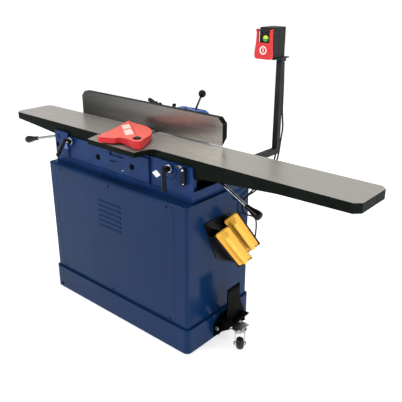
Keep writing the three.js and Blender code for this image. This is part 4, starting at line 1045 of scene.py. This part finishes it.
def push_block(node):
    """A moulded shell on a rubber sole, standing in its pocket."""
    place = (HOLDER @ Matrix.Translation(POCKETS[node])
             @ Matrix.Rotation(math.radians(BLOCK_TURN), 4, "Z"))

    def build(bm):
        # down the block, close together at its ends, and across it from edge to edge
        stations = [-0.0, -1.5, -3.5, -6, -9] + [-11 - 3 * i for i in range(10)]
        stations += [-60 - 16 * i for i in range(9)] + [-204 - 4 * i for i in range(11)]
        stations += [-248, -251, -254, -257, -259.5, -261, -262]
        sides = [-1, -0.97, -0.93, -0.9, -0.8, -0.7] + [-0.6 + 0.0667 * i for i in range(19)]
        sides += [0.7, 0.8, 0.9, 0.93, 0.97, 1]
        upper, lower, sole = [], [], []
        for z in stations:
            half = max(block_half(z), BLOCK["half"] - BLOCK["corner"] + 0.5)
            upper.append([bm.verts.new((block_height(BLOCK["half"] * s, z), half * s, z)) for s in sides])
            lower.append([bm.verts.new((BLOCK["sole"], half * s, z)) for s in (-1, 1)])
            sole.append([bm.verts.new((0.0, (half - 0.8) * s, z)) for s in (-1, 1)])
        last = len(stations) - 1
        for i in range(last):
            for k in range(len(sides) - 1):
                bm.faces.new([upper[i][k], upper[i][k + 1], upper[i + 1][k + 1], upper[i + 1][k]])
            for end, column in ((0, 0), (1, -1)):
                bm.faces.new([upper[i][column], upper[i + 1][column], lower[i + 1][end], lower[i][end]])
                wall = bm.faces.new([lower[i][end], lower[i + 1][end], sole[i + 1][end], sole[i][end]])
                wall.material_index = 1
            bm.faces.new([sole[i][0], sole[i][1], sole[i + 1][1], sole[i + 1][0]]).material_index = 1
        for i in (0, last):
            bm.faces.new(upper[i] + [lower[i][1], lower[i][0]])
            bm.faces.new([lower[i][0], lower[i][1], sole[i][1], sole[i][0]]).material_index = 1
        bmesh.ops.transform(bm, matrix=place, verts=bm.verts)
    remade(node, build, ["yellow", "rubber"], sharp=42)


def holder_pieces():
    dress("block_holder", 1.2)
    for node in POCKETS:
        push_block(node)

    def bolts(bm):
        for y, z in ((118, -150), (-2, -215), (62, -20)):
            at = HOLDER @ Vector((3.5, y, z))
            screw(bm, at, (1, 0, 0), 5, 3)
    added("holder_screws", "block_holder", bolts, ["black_steel", "hole"], slot="black_steel")


# ---- mobile base
CASTER = {"x": 585, "y": -20, "turn": 41, "trail": 16, "radius": 28, "axle": 30, "wide": 34}


def pedal_pieces():
    dress("pedal_bracket", 1.0)
    dress("foot_pedal", 1.2)
    dress("caster_plate", 0.8)

    def pin_head(bm):
        hex_bolt(bm, (482, -50, 62), (0, -1, 0), 9, 5)
    added("pedal_pin_head", "pedal_bracket", pin_head, "zinc", slot="zinc")

    def bolts(bm):
        for y in (-52, 9):
            for x in (562, 601):
                hex_bolt(bm, (x, y, 104.5), (0, 0, 1), 4.4, 4)
    added("caster_plate_bolts", "caster_plate", bolts, "zinc")
    dress("caster_fork", 1.0, 3)
    place = (Matrix.Translation((CASTER["x"], CASTER["y"], 0))
             @ Matrix.Rotation(math.radians(CASTER["turn"]), 4, "Z"))
    half, trail, axle = CASTER["wide"] / 2, CASTER["trail"], CASTER["axle"]

    def race(bm):
        ring = [(22, 0), (27, 0), *arc(3, 27, 3, -90, 90, 8), (22, 6), (22, 0)]
        revolve(bm, ring, place @ Vector((0, 0, 90)), place @ Vector((0, 0, 100)), 56)
        for side in (-1, 1):
            nut = place @ Vector((side * (half + 5), -trail, axle))
            out = place @ Vector((side * (half + 12), -trail, axle))
            revolve(bm, [(0, 0), (9, 0), (9, 4), (7.6, 5), (0, 5)], nut, out, 6)
    added("caster_race", "caster_fork", race, "zinc")

    def wheel(bm):
        radius, wide = CASTER["radius"], CASTER["wide"]
        crown = [(radius - 8 * abs(1 - k / 8) ** 2.2, 1.6 + (wide - 3.2) * k / 16) for k in range(17)]
        profile = [(5.4, 0), (11, 0), (12, 0.8), (13, 3), (17.5, 3), (18.5, 1.6), *crown, (18.5, wide - 1.6),
                   (17.5, wide - 3), (13, wide - 3), (12, wide - 0.8), (11, wide), (5.4, wide), (5.4, 0)]
        revolve(bm, profile, place @ Vector((-half, -trail, axle)), place @ Vector((half, -trail, axle)), 64)
    remade("caster_wheel", wheel, "tread")


make_camera()
make_stage()
base_pieces()
drive_pieces()
bed_pieces()
fence_pieces()
guard_pieces()
switch_pieces()
holder_pieces()
pedal_pieces()
